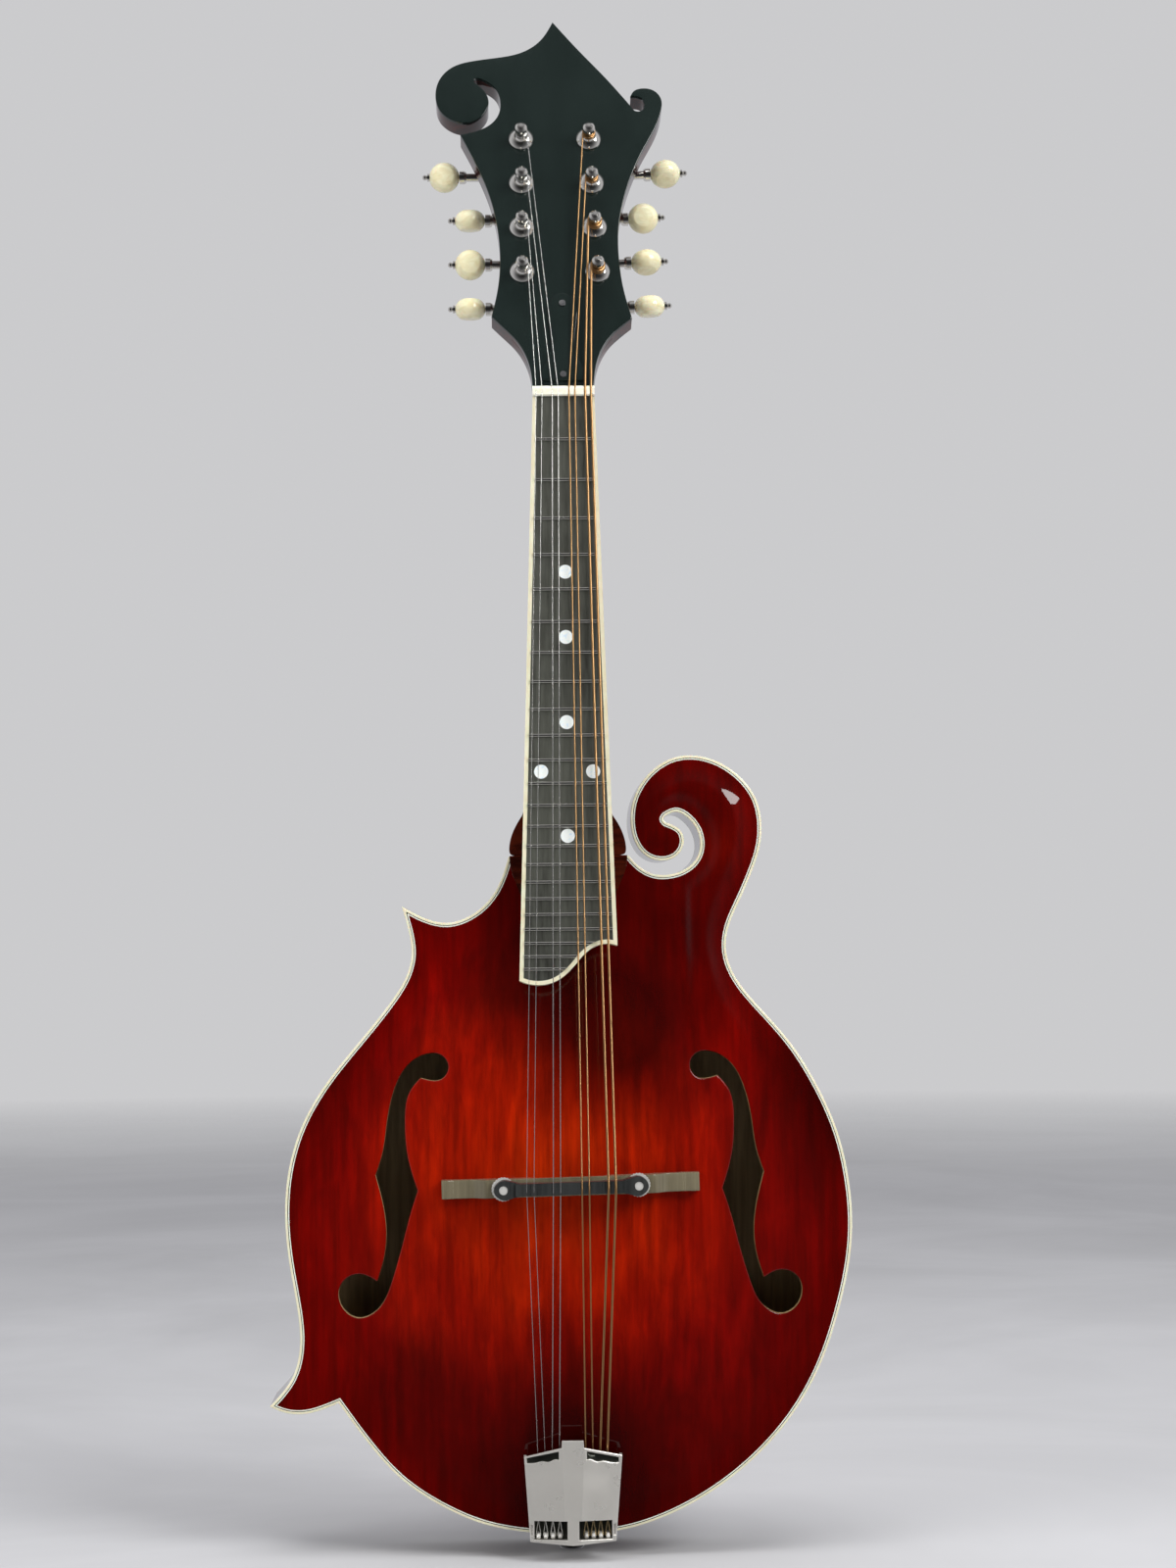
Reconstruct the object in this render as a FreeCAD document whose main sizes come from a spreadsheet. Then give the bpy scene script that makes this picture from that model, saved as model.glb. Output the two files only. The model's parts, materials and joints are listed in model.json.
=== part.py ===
import FreeCAD, Part
import math
import os

import Sketcher
from FreeCAD import Placement, Rotation, Vector

# A left-handed F-style mandolin, standing on its end pin.
# -Y is the front, +Z runs up the body and +X is to the right as seen from the front.
# The origin is the middle of the end pin's lower face.

doc = FreeCAD.newDocument("Mandolin")

# ---------------------------------------------------------------- driving sizes

SIZES = {
    # body
    "rib_depth": 39.5,
    "rib_thickness": 2.3,
    "plate_edge": 4.5,
    "plate_extra": 0.4,
    "top_rise": 14.5,
    "back_rise": 12.7,
    "binding_width": 1.9,
    "lining_inset": 6.0,
    "lining_depth": 6.5,
    "rim_tail": 10.0,
    "heel_joint": 312.5,
    "arch_centre": 165.0,
    "arch_half_width": 118.0,
    "arch_below": 150.0,
    "arch_above": 130.0,
    "arch_taper": 0.35,
    "cut_reach": 40.0,
    "bar_width": 6.0,
    "bar_length": 190.0,
    # neck and fingerboard
    "scale_length": 352.4,
    "neck_pitch": 4.3,
    "head_pitch": 17.0,
    "nut_front": 26.75,
    "nut_height": 520.4,
    "nut_length": 4.7,
    "nut_proud": 1.45,
    "nut_half_width": 14.0,
    "board_taper": 0.0308,
    "board_thickness": 6.0,
    "board_binding": 1.8,
    "dot_diameter": 6.3,
    "dot_depth": 1.5,
    "fret_width": 1.6,
    "fret_rise": 1.0,
    "fret_tang": 1.8,
    "fret_tang_width": 0.6,
    "neck_shaft_end": 200.0,
    "tenon_width": 18.0,
    "tenon_depth": 14.0,
    "rod_diameter": 4.8,
    "rod_depth": 9.4,
    "rod_length": 186.0,
    "channel_radius": 3.0,
    "channel_length": 192.0,
    "rod_nut_diameter": 8.0,
    "rod_nut_length": 9.0,
    # headstock and tuners
    "head_thickness": 13.0,
    "overlay": 2.0,
    "cover_thickness": 1.5,
    "cover_screw_radius": 0.8,
    "post_spacing": 23.0,
    "post_base": 63.3,
    "left_post_x": 18.1,
    "right_post_x": 16.4,
    "right_tilt": 2.56,
    "post_radius": 3.0,
    "post_waist": 2.35,
    "running_gap": 0.05,
    "seat_gap": 0.2,
    "bushing_radius": 4.3,
    "bushing_flange": 5.65,
    "bushing_sleeve": 8.0,
    "plate_sheet": 1.2,
    "worm_drop": 9.5,
    "worm_back": 19.0,
    "worm_core": 2.0,
    "worm_outer": 3.7,
    "worm_turns": 3.0,
    "gear_teeth": 16.0,
    "gear_pitch_radius": 6.5,
    "gear_root": 5.4,
    "gear_outer": 7.1,
    "gear_width": 3.4,
    "knob_reach": 24.0,
    "long_knob_reach": 35.9,
    "knob_radius": 7.1,
    "knob_thickness": 9.6,
    "spindle_radius": 1.5,
    "shaft_collar": 3.0,
    # bridge
    "bridge_height": 166.0,
    "bridge_slant": 1.35,
    "bridge_half_length": 57.2,
    "bridge_width": 8.2,
    "bridge_top": 46.3,
    "post_offset": 29.8,
    "stud_radius": 1.9,
    "wheel_radius": 5.3,
    "wheel_thickness": 2.0,
    "saddle_bottom": 49.6,
    "saddle_top": 58.3,
    "saddle_half_length": 34.0,
    # tailpiece and end pin
    "tail_plate_bottom": 8.3,
    "pin_radius": 5.5,
    "pin_flange": 8.6,
    "pin_stem": 4.0,
    "screw_radius": 1.2,
    "screw_head": 2.3,
}

sheet = doc.addObject("Spreadsheet::Sheet", "Sizes")
for row, (alias, value) in enumerate(SIZES.items(), start=1):
    sheet.set(f"A{row}", alias.replace("_", " "))
    sheet.set(f"B{row}", str(value))
    sheet.setAlias(f"B{row}", alias)
doc.recompute()


def size(alias):
    """The value of one named cell of the sheet."""
    return float(sheet.get(alias))


def bind(item, **expressions):
    """Tie an object's properties to expressions of the sheet's cells."""
    for name, expression in expressions.items():
        item.setExpression(name, expression)


def cell(alias):
    return f"Sizes.{alias}"


# ---------------------------------------------------------------- frames

FRONT = Rotation(Vector(1, 0, 0), 90)  # a sketch's x and y run along X and Z, its normal along -Y
NUT_POINT = Vector(0, -size("nut_front"), size("nut_height"))
NECK = Placement(NUT_POINT, Rotation(Vector(1, 0, 0), -size("neck_pitch")))
HEAD = Placement(NUT_POINT, Rotation(Vector(1, 0, 0), -size("head_pitch")))
HERE = Placement()
HALF_DEPTH = size("rib_depth") / 2
RIM_FACE = HALF_DEPTH + size("plate_edge")


def shifted(frame, x, y, z, rotation=None):
    """A placement at a point of another frame, turned by a rotation of that frame."""
    return frame * Placement(Vector(x, y, z), rotation or Rotation())


# ---------------------------------------------------------------- sketch and solid helpers

nodes = {}


def keep(label, item):
    """Name a finished sub-part: its label names its file."""
    item.Label = label
    nodes[label] = item
    return item


def line(start, end):
    return Part.LineSegment(Vector(*start, 0), Vector(*end, 0))


def polygon(points):
    """The sides of a closed polygon."""
    return [line(a, b) for a, b in zip(points, points[1:] + points[:1])]


def spline(points):
    curve = Part.BSplineCurve()
    curve.interpolate([Vector(x, y, 0) for x, y in points])
    return curve


def arcs_through(points, tolerance=0.12):
    """Tangent arcs that follow a smooth curve through a few points."""
    return list(spline(points).toBiArcs(tolerance))


def outline(stretches, tolerance=0.12):
    """A closed outline: a stretch of two points is a line, a longer one a smooth run of arcs."""
    curves = []
    for points in stretches:
        if len(points) == 2:
            curves.append(line(*points))
        else:
            curves += arcs_through(points, tolerance)
    return curves


def flat_sketch(name, curves, placement):
    """A free-standing sketch, for Part extrusions."""
    sketch = doc.addObject("Sketcher::SketchObject", name)
    sketch.Placement = placement
    sketch.addGeometry(curves, False)
    return sketch


def prism(name, curves, length, placement, inset=None):
    """The solid a closed outline sweeps along its sketch's normal, its outline moved in if asked."""
    base = flat_sketch(f"{name}Sketch", curves, placement)
    if inset:
        moved = doc.addObject("Part::Offset2D", f"{name}Inset")
        moved.Source = base
        moved.Join = 0
        moved.Value = -size(inset)
        bind(moved, Value=f"-{cell(inset)}")
        base = moved
    solid = doc.addObject("Part::Extrusion", name)
    solid.Base = base
    solid.DirMode = "Custom"
    solid.Dir = placement.Rotation.multVec(Vector(0, 0, 1))
    solid.Solid = True
    if isinstance(length, str):
        bind(solid, LengthFwd=length)
    else:
        solid.LengthFwd = length
    return solid


def box(name, corner, lengths, frame=HERE):
    """A block from its low corner; a length is a number or an expression."""
    block = doc.addObject("Part::Box", name)
    for prop, length in zip(("Length", "Width", "Height"), lengths):
        if isinstance(length, str):
            block.setExpression(prop, length)
        else:
            setattr(block, prop, length)
    block.Placement = shifted(frame, *corner)
    return block


def rod(name, start, axis, radius, length, frame=HERE):
    """A cylinder from a point along an axis of a frame."""
    cylinder = doc.addObject("Part::Cylinder", name)
    for prop, value in (("Radius", radius), ("Height", length)):
        if isinstance(value, str):
            cylinder.setExpression(prop, value)
        else:
            setattr(cylinder, prop, value)
    cylinder.Placement = shifted(frame, *start, Rotation(Vector(0, 0, 1), Vector(*axis)))
    return cylinder


def fuse(name, shapes):
    joined = doc.addObject("Part::MultiFuse", name)
    joined.Shapes = shapes
    return joined


def common(name, shapes):
    shared = doc.addObject("Part::MultiCommon", name)
    shared.Shapes = shapes
    return shared


def cut(name, base, tool):
    rest = doc.addObject("Part::Cut", name)
    rest.Base = base
    rest.Tool = tool
    return rest


def group(name, shapes):
    """Several solids of one kind kept together as one sub-part."""
    bundle = doc.addObject("Part::Compound", name)
    bundle.Links = shapes
    return bundle


def feature(name, shape):
    """A shape made with Part's own functions, where no sketch or primitive fits."""
    item = doc.addObject("Part::Feature", name)
    item.Shape = shape
    return item


def new_body(name, placement=HERE):
    body = doc.addObject("PartDesign::Body", name)
    body.Placement = placement
    return body


def new_sketch(body, role, curves, offset=0.0):
    """A sketch on one of the body's own origin planes."""
    sketch = body.newObject("Sketcher::SketchObject", f"{body.Name}Sketch")
    plane = next(item for item in body.Origin.OriginFeatures if item.Role == role)
    sketch.AttachmentSupport = [(plane, "")]
    sketch.MapMode = "FlatFace"
    sketch.AttachmentOffset = Placement(Vector(0, 0, offset), Rotation())
    sketch.addGeometry(curves, False)
    return sketch


def circle(x, y, radius):
    return Part.Circle(Vector(x, y, 0), Vector(0, 0, 1), radius)


def hold_radius(sketch, index, expression):
    """Give one circle or arc of a sketch a radius from the sheet."""
    number = sketch.addConstraint(Sketcher.Constraint("Radius", index, sketch.Geometry[index].Radius))
    sketch.setExpression(f"Constraints[{number}]", expression)


def pad(body, sketch, length, reverse=False):
    step = body.newObject("PartDesign::Pad", f"{body.Name}Pad")
    step.Profile = sketch
    step.Reversed = reverse
    if isinstance(length, str):
        bind(step, Length=length)
    else:
        step.Length = length
    return step


def pocket(body, sketch, length, reverse=False):
    """Cut a sketch into the body, and make sure that it took something away."""
    doc.recompute()
    before = body.Shape.Volume
    step = body.newObject("PartDesign::Pocket", f"{body.Name}Pocket")
    step.Profile = sketch
    step.Reversed = reverse
    step.Length = length
    doc.recompute()
    if body.Shape.Volume >= before:
        raise RuntimeError(f"{step.Name} cuts nothing")
    return step


def revolve(body, sketch, axis="V_Axis"):
    step = body.newObject("PartDesign::Revolution", f"{body.Name}Turn")
    step.Profile = sketch
    step.ReferenceAxis = (sketch, [axis])
    step.Angle = 360
    return step


# ---------------------------------------------------------------- the body's outline

UPPER_POINT = (-74.5, 290.5)
LOWER_POINT = (-134.7, 68)
LOWER_CORNER = (-104, 69.2)
HEEL_LEFT = (-26.5, size("heel_joint"))
HEEL_RIGHT = (27.8, size("heel_joint"))
SLOT_INNER = (44.6, 327.4)
SLOT_OUTER = (44.4, 330.2)

BODY_OUTLINE = [
    # heel to the upper point
    [HEEL_LEFT, (-29, 304.5), (-35, 293.5), (-44, 286), (-54, 283), (-65.5, 285.7), UPPER_POINT],
    # waist and left side, down to the lower point
    [UPPER_POINT, (-71.9, 280.7), (-70.3, 269), (-73, 258.5), (-79.5, 248), (-92.8, 231.4),
     (-107, 214), (-118.5, 195.5), (-125.3, 175.5), (-127.5, 153), (-125.3, 129),
     (-121.8, 108), (-121.2, 94), (-125, 80), LOWER_POINT],
    # underside of the lower point
    [LOWER_POINT, (-128, 65.3), (-119, 64.6), (-110, 66.9), LOWER_CORNER],
    # lower bout, right side, scroll and its curl, in to the slot's end
    [LOWER_CORNER, (-88, 47.7), (-76.4, 35.4), (-58.5, 23.2), (-40.4, 15.2), (-20, 11.1),
     (0, size("rim_tail")), (20, 11.3), (39.4, 16.6), (62.1, 28), (83.5, 44.6), (100.3, 63.9),
     (112.7, 86.4), (120.5, 109.4), (125.4, 131.7), (126.6, 150), (125.4, 165.2), (120.5, 187.6),
     (111.5, 208.7), (99.8, 227.7), (85.2, 244.7), (74.5, 259), (71.2, 270), (72.4, 280),
     (77.5, 292), (83, 304.5), (86.8, 316), (87.6, 328), (85, 338.5), (79.4, 346.5), (70, 353.7),
     (59.8, 357.2), (49, 356.7), (40.1, 352.1), (33.2, 344.5), (29.5, 336), (28.7, 327),
     (30.6, 318.7), (35.3, 312.6), (42, 310.2), (48.6, 311.8), (52.4, 317), (51.8, 322.8),
     SLOT_INNER],
    [SLOT_INNER, (43.6, 328.8), SLOT_OUTER],
    # the slot's outer wall, back to the heel
    [SLOT_OUTER, (49, 332.1), (54.5, 329.4), (58.6, 324), (60, 317.8), (58.3, 311.2),
     (53.5, 306.5), (46.6, 304), (39, 304.2), (32.5, 307.6), HEEL_RIGHT],
    [HEEL_RIGHT, HEEL_LEFT],
]
BODY_CURVES = outline(BODY_OUTLINE)


def body_prism(name, start, length, inset=None, towards_back=False):
    """The body's outline swept from a plane at y = start, towards the front or the back."""
    solid = prism(name, BODY_CURVES, length, Placement(Vector(0, start, 0), FRONT), inset)
    if towards_back:
        solid.Reversed = True
    return solid


# ---------------------------------------------------------------- carved plates

GRID_STEP = 10.0
GRID_X = (-15, 15)  # the carving's grid, in steps, wider than the body on every side
GRID_Z = (-1, 38)


def arch_height(x, z, rise):
    """How far the carving stands above the plate's rim, zero all round the edge."""
    up = z - size("arch_centre")
    reach = size("arch_above") if up > 0 else size("arch_below")
    half_width = size("arch_half_width")
    if up > 0:
        half_width *= 1 - size("arch_taper") * min(up / reach, 1)
    spread = (x / half_width) ** 2 + (up / reach) ** 2
    return rise * max(0.0, 1 - spread) ** 1.5


def arch_face(rise, facing, inward=0.0):
    """A plate's carved surface; facing is -1 for the top and +1 for the back."""
    rows = []
    for i in range(GRID_X[0], GRID_X[1] + 1):
        row = []
        for k in range(GRID_Z[0], GRID_Z[1] + 1):
            x = i * GRID_STEP
            z = k * GRID_STEP
            row.append(Vector(x, facing * (RIM_FACE + arch_height(x, z, rise) - inward), z))
        rows.append(row)
    surface = Part.BSplineSurface()
    surface.interpolate(rows)
    return surface.toShape()


def carved_slab(name, rise, facing):
    """The carved layer a plate is cut from, a little thicker than the plate's edge."""
    thickness = size("plate_edge") + size("plate_extra")
    return feature(name, arch_face(rise, facing).extrude(Vector(0, -facing * thickness, 0)))


def in_front_of_top(name):
    """Everything in front of the top's carved surface, to fit what stands on it."""
    return feature(name, arch_face(size("top_rise"), -1).extrude(Vector(0, -size("cut_reach"), 0)))


def behind_top(name):
    """Everything behind the top's inner surface, to fit the bars under it."""
    inward = size("plate_edge") + size("plate_extra")
    face = arch_face(size("top_rise"), -1, inward)
    return feature(name, face.extrude(Vector(0, size("cut_reach"), 0)))


# The left sound hole; the right one is its mirror image.
F_HOLE = [
    [(-66.6, 213.7), (-71.2, 208), (-73.6, 193), (-72.6, 180), (-68, 163.8)],
    [(-68, 163.8), (-71.5, 153), (-75.4, 138.3), (-80.1, 122.6), (-86.8, 110.3), (-95.2, 107),
     (-102.6, 112.5), (-102.1, 122.9), (-94.5, 126.7), (-86.4, 123.5)],
    [(-86.4, 123.5), (-82.9, 135.9), (-82.4, 150), (-86.9, 170.6)],
    [(-86.9, 170.6), (-83.6, 181), (-81.8, 193), (-78.8, 207.3), (-72.8, 218.9), (-64.5, 224.3),
     (-57, 223.8), (-54, 218.8), (-56.8, 213.4), (-66.6, 213.7)],
]


def f_hole(name, side):
    curves = outline([[(side * x, z) for x, z in stretch] for stretch in F_HOLE])
    return prism(name, curves, cell("cut_reach"), Placement(Vector(0, -10, 0), FRONT))


def make_plates():
    reach = cell("cut_reach")
    top_blank = common("TopBlank", [
        body_prism("TopOutline", -HALF_DEPTH, reach, inset="binding_width"),
        carved_slab("TopCarving", size("top_rise"), -1),
    ])
    holes = fuse("SoundHoles", [f_hole("SoundHoleLeft", 1), f_hole("SoundHoleRight", -1)])
    keep("top_plate", cut("TopPlate", top_blank, holes))
    keep("back_plate", common("BackPlate", [
        body_prism("BackOutline", HALF_DEPTH, reach, inset="binding_width", towards_back=True),
        carved_slab("BackCarving", size("back_rise"), 1),
    ]))


def make_bindings():
    edge = cell("plate_edge")
    for name, start, behind in (("top", -HALF_DEPTH, False), ("back", HALF_DEPTH, True)):
        outer = body_prism(f"{name}BindingOuter", start, edge, towards_back=behind)
        inner = body_prism(f"{name}BindingInner", start, edge, inset="binding_width",
                           towards_back=behind)
        keep(f"{name}_binding", cut(f"{name}Binding", outer, inner))


# ---------------------------------------------------------------- inside the body

TENON_TOP = -15.0
TENON_BOTTOM = 15.0


def tenon(name):
    """The neck's tongue, which fills its slot in the ribs and the head block."""
    depth = size("tenon_depth")
    corner = (-size("tenon_width") / 2, TENON_TOP, size("heel_joint") - depth)
    return box(name, corner, (cell("tenon_width"), TENON_BOTTOM - TENON_TOP, cell("tenon_depth")))


TAIL_SCREWS = [(-10, -14), (10, -14), (0, -17)]  # x and y of the tailpiece's screws


def tail_bores(name, depth):
    """The end pin's hole and the tailpiece screws' holes, up from under the tail."""
    bores = [rod(f"{name}Pin", (0, 0, 0), (0, 0, 1), cell("pin_stem"), depth)]
    for number, (x, y) in enumerate(TAIL_SCREWS):
        bores.append(rod(f"{name}Screw{number}", (x, y, 0), (0, 0, 1),
                         cell("screw_radius"), depth))
    return fuse(name, bores)


def cavity(name):
    return body_prism(name, HALF_DEPTH, cell("rib_depth"), inset="rib_thickness")


def make_ribs_and_blocks():
    shell = cut("RibShell", body_prism("RibOuter", HALF_DEPTH, cell("rib_depth")),
                cavity("RibInner"))
    openings = fuse("RibOpenings", [tenon("RibTenon"), tail_bores("RibBores", 20)])
    keep("ribs", cut("Ribs", shell, openings))

    deep = size("rib_depth")

    def block(name, low, high):
        limits = box(f"{name}Limits", (low[0], -HALF_DEPTH, low[1]),
                     (high[0] - low[0], deep, high[1] - low[1]))
        return common(name, [cavity(f"{name}Cavity"), limits])

    keep("tail_block", cut("TailBlock", block("TailWood", (-32, 5), (32, 27)),
                           tail_bores("TailBores", 24)))
    keep("head_block", cut("HeadBlock", block("HeadWood", (-32, 270), (24, 320)),
                           tenon("HeadTenon")))
    keep("scroll_and_point_blocks", group("ScrollAndPointBlocks", [
        block("ScrollWood", (24, 286), (95, 362)),
        block("UpperPointWood", (-80, 266), (-50, 296)),
        block("LowerPointWood", (-140, 60), (-108, 88)),
    ]))


def make_linings():
    """Strips that thicken the joint of ribs and plates, between the blocks."""
    strips = []
    depth = size("lining_depth")
    for name, start in (("Top", -HALF_DEPTH + depth), ("Back", HALF_DEPTH)):
        outer = body_prism(f"{name}LiningOuter", start, cell("lining_depth"), "rib_thickness")
        inner = body_prism(f"{name}LiningInner", start, cell("lining_depth"), "lining_inset")
        blocks = fuse(f"{name}LiningBlocks", [
            box(f"{name}AtTail", (-32, -30, 5), (64, 60, 22)),
            box(f"{name}AtHead", (-32, -30, 270), (56, 60, 50)),
            box(f"{name}AtScroll", (24, -30, 286), (71, 60, 76)),
            box(f"{name}AtUpperPoint", (-80, -30, 266), (30, 60, 30)),
            box(f"{name}AtLowerPoint", (-140, -30, 60), (32, 60, 28)),
        ])
        strips.append(cut(f"{name}Lining", cut(f"{name}LiningRing", outer, inner), blocks))
    keep("linings", group("Linings", strips))


def make_tone_bars():
    """Two bars under the top, carved to its inner face and flat on their free edge."""
    reach = size("cut_reach") / 2
    bars = []
    for name, x, lean in (("Left", -26, -4), ("Right", 20, 4)):
        frame = Placement(Vector(x, -HALF_DEPTH, 65), Rotation(Vector(0, 1, 0), -lean))
        blank = box(f"{name}BarBlank", (0, -reach, 0),
                    (cell("bar_width"), f"{cell('cut_reach')}/2", cell("bar_length")), frame)
        bars.append(common(f"{name}Bar", [blank, behind_top(f"{name}BarFit")]))
    keep("tone_bars", group("ToneBars", bars))


# ---------------------------------------------------------------- neck

HEAD_OUTLINE = [
    # up the left side from the nut
    [(-14, 4.7), (-14.8, 13), (-17.3, 21.5), (-21.7, 29), (-27, 34.8), (-32.3, 40.4)],
    [(-32.3, 40.4), (-29.8, 52), (-28.4, 64), (-28.5, 77), (-30.2, 91), (-34, 106), (-46.3, 134.8)],
    # the large curl's slot, in and out
    [(-46.3, 134.8), (-39.1, 136.6), (-32.8, 139.8), (-28.6, 145.2), (-27.6, 152), (-29.7, 159),
     (-36.6, 164.4)],
    [(-36.6, 164.4), (-39.2, 164.4), (-39.6, 162.6)],
    [(-39.6, 162.6), (-34.8, 157.7), (-33, 152), (-34.5, 146.8), (-38.8, 142.4), (-44.5, 141),
     (-50.5, 142.7), (-55.6, 147.3), (-57.8, 155.5), (-56, 164), (-50, 170.7), (-40, 174.1),
     (-29, 175.8), (-18, 178.4), (-9, 184.6), (-2.7, 195)],
    # down the right edge to the small hook
    [(-2.7, 195), (9.2, 179.9), (22, 164.6), (33.6, 149.4)],
    [(33.6, 149.4), (35.4, 147.2), (38.2, 147.3), (39.6, 150), (38.6, 153.5), (33.2, 154.9)],
    [(33.2, 154.9), (34.8, 157.7), (39, 159.2), (44.3, 158), (47.6, 153.6), (47.6, 148),
     (44.6, 138.4), (38.4, 126), (32.6, 112), (28.6, 98), (26.4, 84), (26.4, 70),
     (28, 55.5), (31.8, 39.4)],
    [(31.8, 39.4), (26.6, 34.9), (21.4, 29.5), (17.2, 22), (14.8, 13), (14, 4.7)],
    [(14, 4.7), (-14, 4.7)],
]

COVER_OUTLINE = [
    [(-10.4, 7.4), (-9.6, 12.5), (-6.6, 19), (-5.4, 27), (-6.2, 36), (-6.6, 43), (-4.6, 49),
     (0, 51.6), (4.6, 49), (6.6, 43), (6.2, 36), (5.4, 27), (6.6, 19), (9.6, 12.5), (10.4, 7.4)],
    [(10.4, 7.4), (-10.4, 7.4)],
]
COVER_SCREWS = [(0, 10.2), (0, 46.2)]
COVER_SCREW_REACH = 4.0  # below the headstock's face, short of the truss rod
ROD_POCKET = (5.0, 12.0, 43.0)  # half width, start and end along the headstock
POCKET_FLOOR = 11.6  # the pocket's depth below the headstock's face
POCKET_LIMIT = 14.6  # and its greatest depth below the fingerboard's plane
# Across the row and up it, from the lowest post; the middle three stand clear of the lugs.
PLATE_SCREWS = [(0, -15.6), (-8.4, 4.5), (-8.4, 27.5), (-8.4, 50.5), (0, 78.6)]
PLATE_SCREW_DEPTH = 9.0


def tuner_frame(side):
    """The frame of one row of tuners: its lowest post, on the headstock's face.

    Its x runs outwards to the buttons on the right row and inwards on the left one.
    """
    if side == "left":
        return shifted(HEAD, -size("left_post_x"), 0, size("post_base"))
    tilt = Rotation(Vector(0, 1, 0), -size("right_tilt"))
    return shifted(HEAD, size("right_post_x"), 0, size("post_base"), tilt)


def post_frames():
    """(side, number from the bottom, frame of the post) for the eight posts."""
    frames = []
    for side in ("left", "right"):
        for number in range(4):
            frame = shifted(tuner_frame(side), 0, 0, number * size("post_spacing"))
            frames.append((side, number + 1, frame))
    return frames


def head_prism(name, curves, front, depth_expression, depth):
    """An outline on the headstock, from its back surface forwards to y = front."""
    placement = shifted(HEAD, 0, front + depth, 0, FRONT)
    return prism(name, curves, depth_expression, placement)


def nut_seat(name):
    """Room in front of the neck for the fingerboard and the nut."""
    return box(name, (-40, -60, -300), (80, f"60+{cell('board_thickness')}",
                                        f"300+{cell('nut_length')}"), NECK)


def post_bores(name, radius, start, depth):
    bores = []
    for side, number, frame in post_frames():
        bores.append(rod(f"{name}{side}{number}", (0, start, 0), (0, 1, 0), radius, depth, frame))
    return fuse(name, bores)


def board_half_width(distance):
    """Half the fingerboard's width at a distance from the nut."""
    return size("nut_half_width") + size("board_taper") * distance


def make_shaft():
    """The neck's shaft: a loft through sections with a flat front and a round back."""
    body = new_body("NeckShaft", NECK)
    front = size("board_thickness") - 1
    stations = [(8, 11.6), (-30, 12.6), (-110, 14.4), (-170, 17), (-size("neck_shaft_end"), 21)]
    sections = []
    for height, sag in stations:
        half = board_half_width(max(0, -height))
        left = Vector(-half, front, 0)
        right = Vector(half, front, 0)
        arc = Part.Arc(left, Vector(0, front + sag, 0), right)
        curves = [line((-half, front), (half, front)), arc]
        sections.append(new_sketch(body, "XY_Plane", curves, height))
    loft = body.newObject("PartDesign::AdditiveLoft", "NeckLoft")
    loft.Profile = sections[0]
    loft.Sections = sections[1:]
    return body


def make_heel():
    """The heel: it widens towards the body and narrows to a small cap at the back."""
    body = new_body("NeckHeel")
    base = size("heel_joint")
    stations = [(38, 26.3, 33), (28, 26, 27), (12, 24, 19), (-6, 19.5, 14), (-RIM_FACE, 13, 11.5)]
    sections = []
    for forward, half, rise in stations:
        top = [(half, base), (0.8 * half, base + 0.55 * rise), (0, base + rise),
               (-0.8 * half, base + 0.55 * rise), (-half, base)]
        curves = [line((-half, base), (half, base)), spline(top)]
        sections.append(new_sketch(body, "XZ_Plane", curves, forward))
    loft = body.newObject("PartDesign::AdditiveLoft", "HeelLoft")
    loft.Profile = sections[0]
    loft.Sections = sections[1:]
    return body


def plate_screw_shanks(name):
    """The shanks of the tuner plates' screws, as rods running forwards into the headstock."""
    start = size("head_thickness") + size("plate_sheet")
    shanks = []
    for side, outward in (("left", -1), ("right", 1)):
        for number, (x, z) in enumerate(PLATE_SCREWS):
            shanks.append(rod(f"{name}{side}{number}", (outward * x, start, z), (0, -1, 0),
                              cell("screw_radius"), PLATE_SCREW_DEPTH, tuner_frame(side)))
    return shanks


def make_neck():
    wood = size("head_thickness") - size("overlay")
    head = head_prism("HeadWoodBlank", outline(HEAD_OUTLINE), size("overlay"),
                      f"{cell('head_thickness')}-{cell('overlay')}", wood)
    blank = fuse("NeckBlank", [make_shaft(), make_heel(), head, tenon("NeckTenon")])
    half, low, high = ROD_POCKET
    channel = rod("RodChannel", (0, size("rod_depth"), 26), (0, 0, -1), cell("channel_radius"),
                  cell("channel_length"), NECK)
    room = box("RodPocket", (-half, -5, low), (2 * half, 5 + POCKET_FLOOR, high - low), HEAD)
    limit = box("RodPocketLimit", (-half, -20, -5), (2 * half, 20 + POCKET_LIMIT, 70), NECK)
    tools = fuse("NeckOpenings", [
        nut_seat("NeckSeat"),
        post_bores("NeckPostBores", cell("bushing_radius"), -5, 30),
        channel,
        common("RodPocketShape", [room, limit]),
        screw_bores("NeckCoverBores"),
        fuse("NeckPlateBores", plate_screw_shanks("NeckPlateBore")),
    ])
    keep("neck", cut("Neck", blank, tools))

    overlay = head_prism("OverlayBlank", outline(HEAD_OUTLINE), 0, cell("overlay"),
                         size("overlay"))
    openings = fuse("OverlayOpenings", [
        nut_seat("OverlaySeat"),
        post_bores("OverlayBores", cell("bushing_radius"), -5, 30),
        box("OverlayPocket", (-half, -5, low), (2 * half, 30, high - low), HEAD),
        screw_bores("OverlayCoverBores"),
    ])
    keep("headstock_veneer", cut("HeadstockVeneer", overlay, openings))


def screw_bores(name):
    """Holes for the truss rod cover's screws."""
    start = -5
    bores = [rod(f"{name}{i}", (x, start, z), (0, 1, 0), cell("cover_screw_radius"),
                 COVER_SCREW_REACH - start, HEAD)
             for i, (x, z) in enumerate(COVER_SCREWS)]
    return fuse(name, bores)


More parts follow.
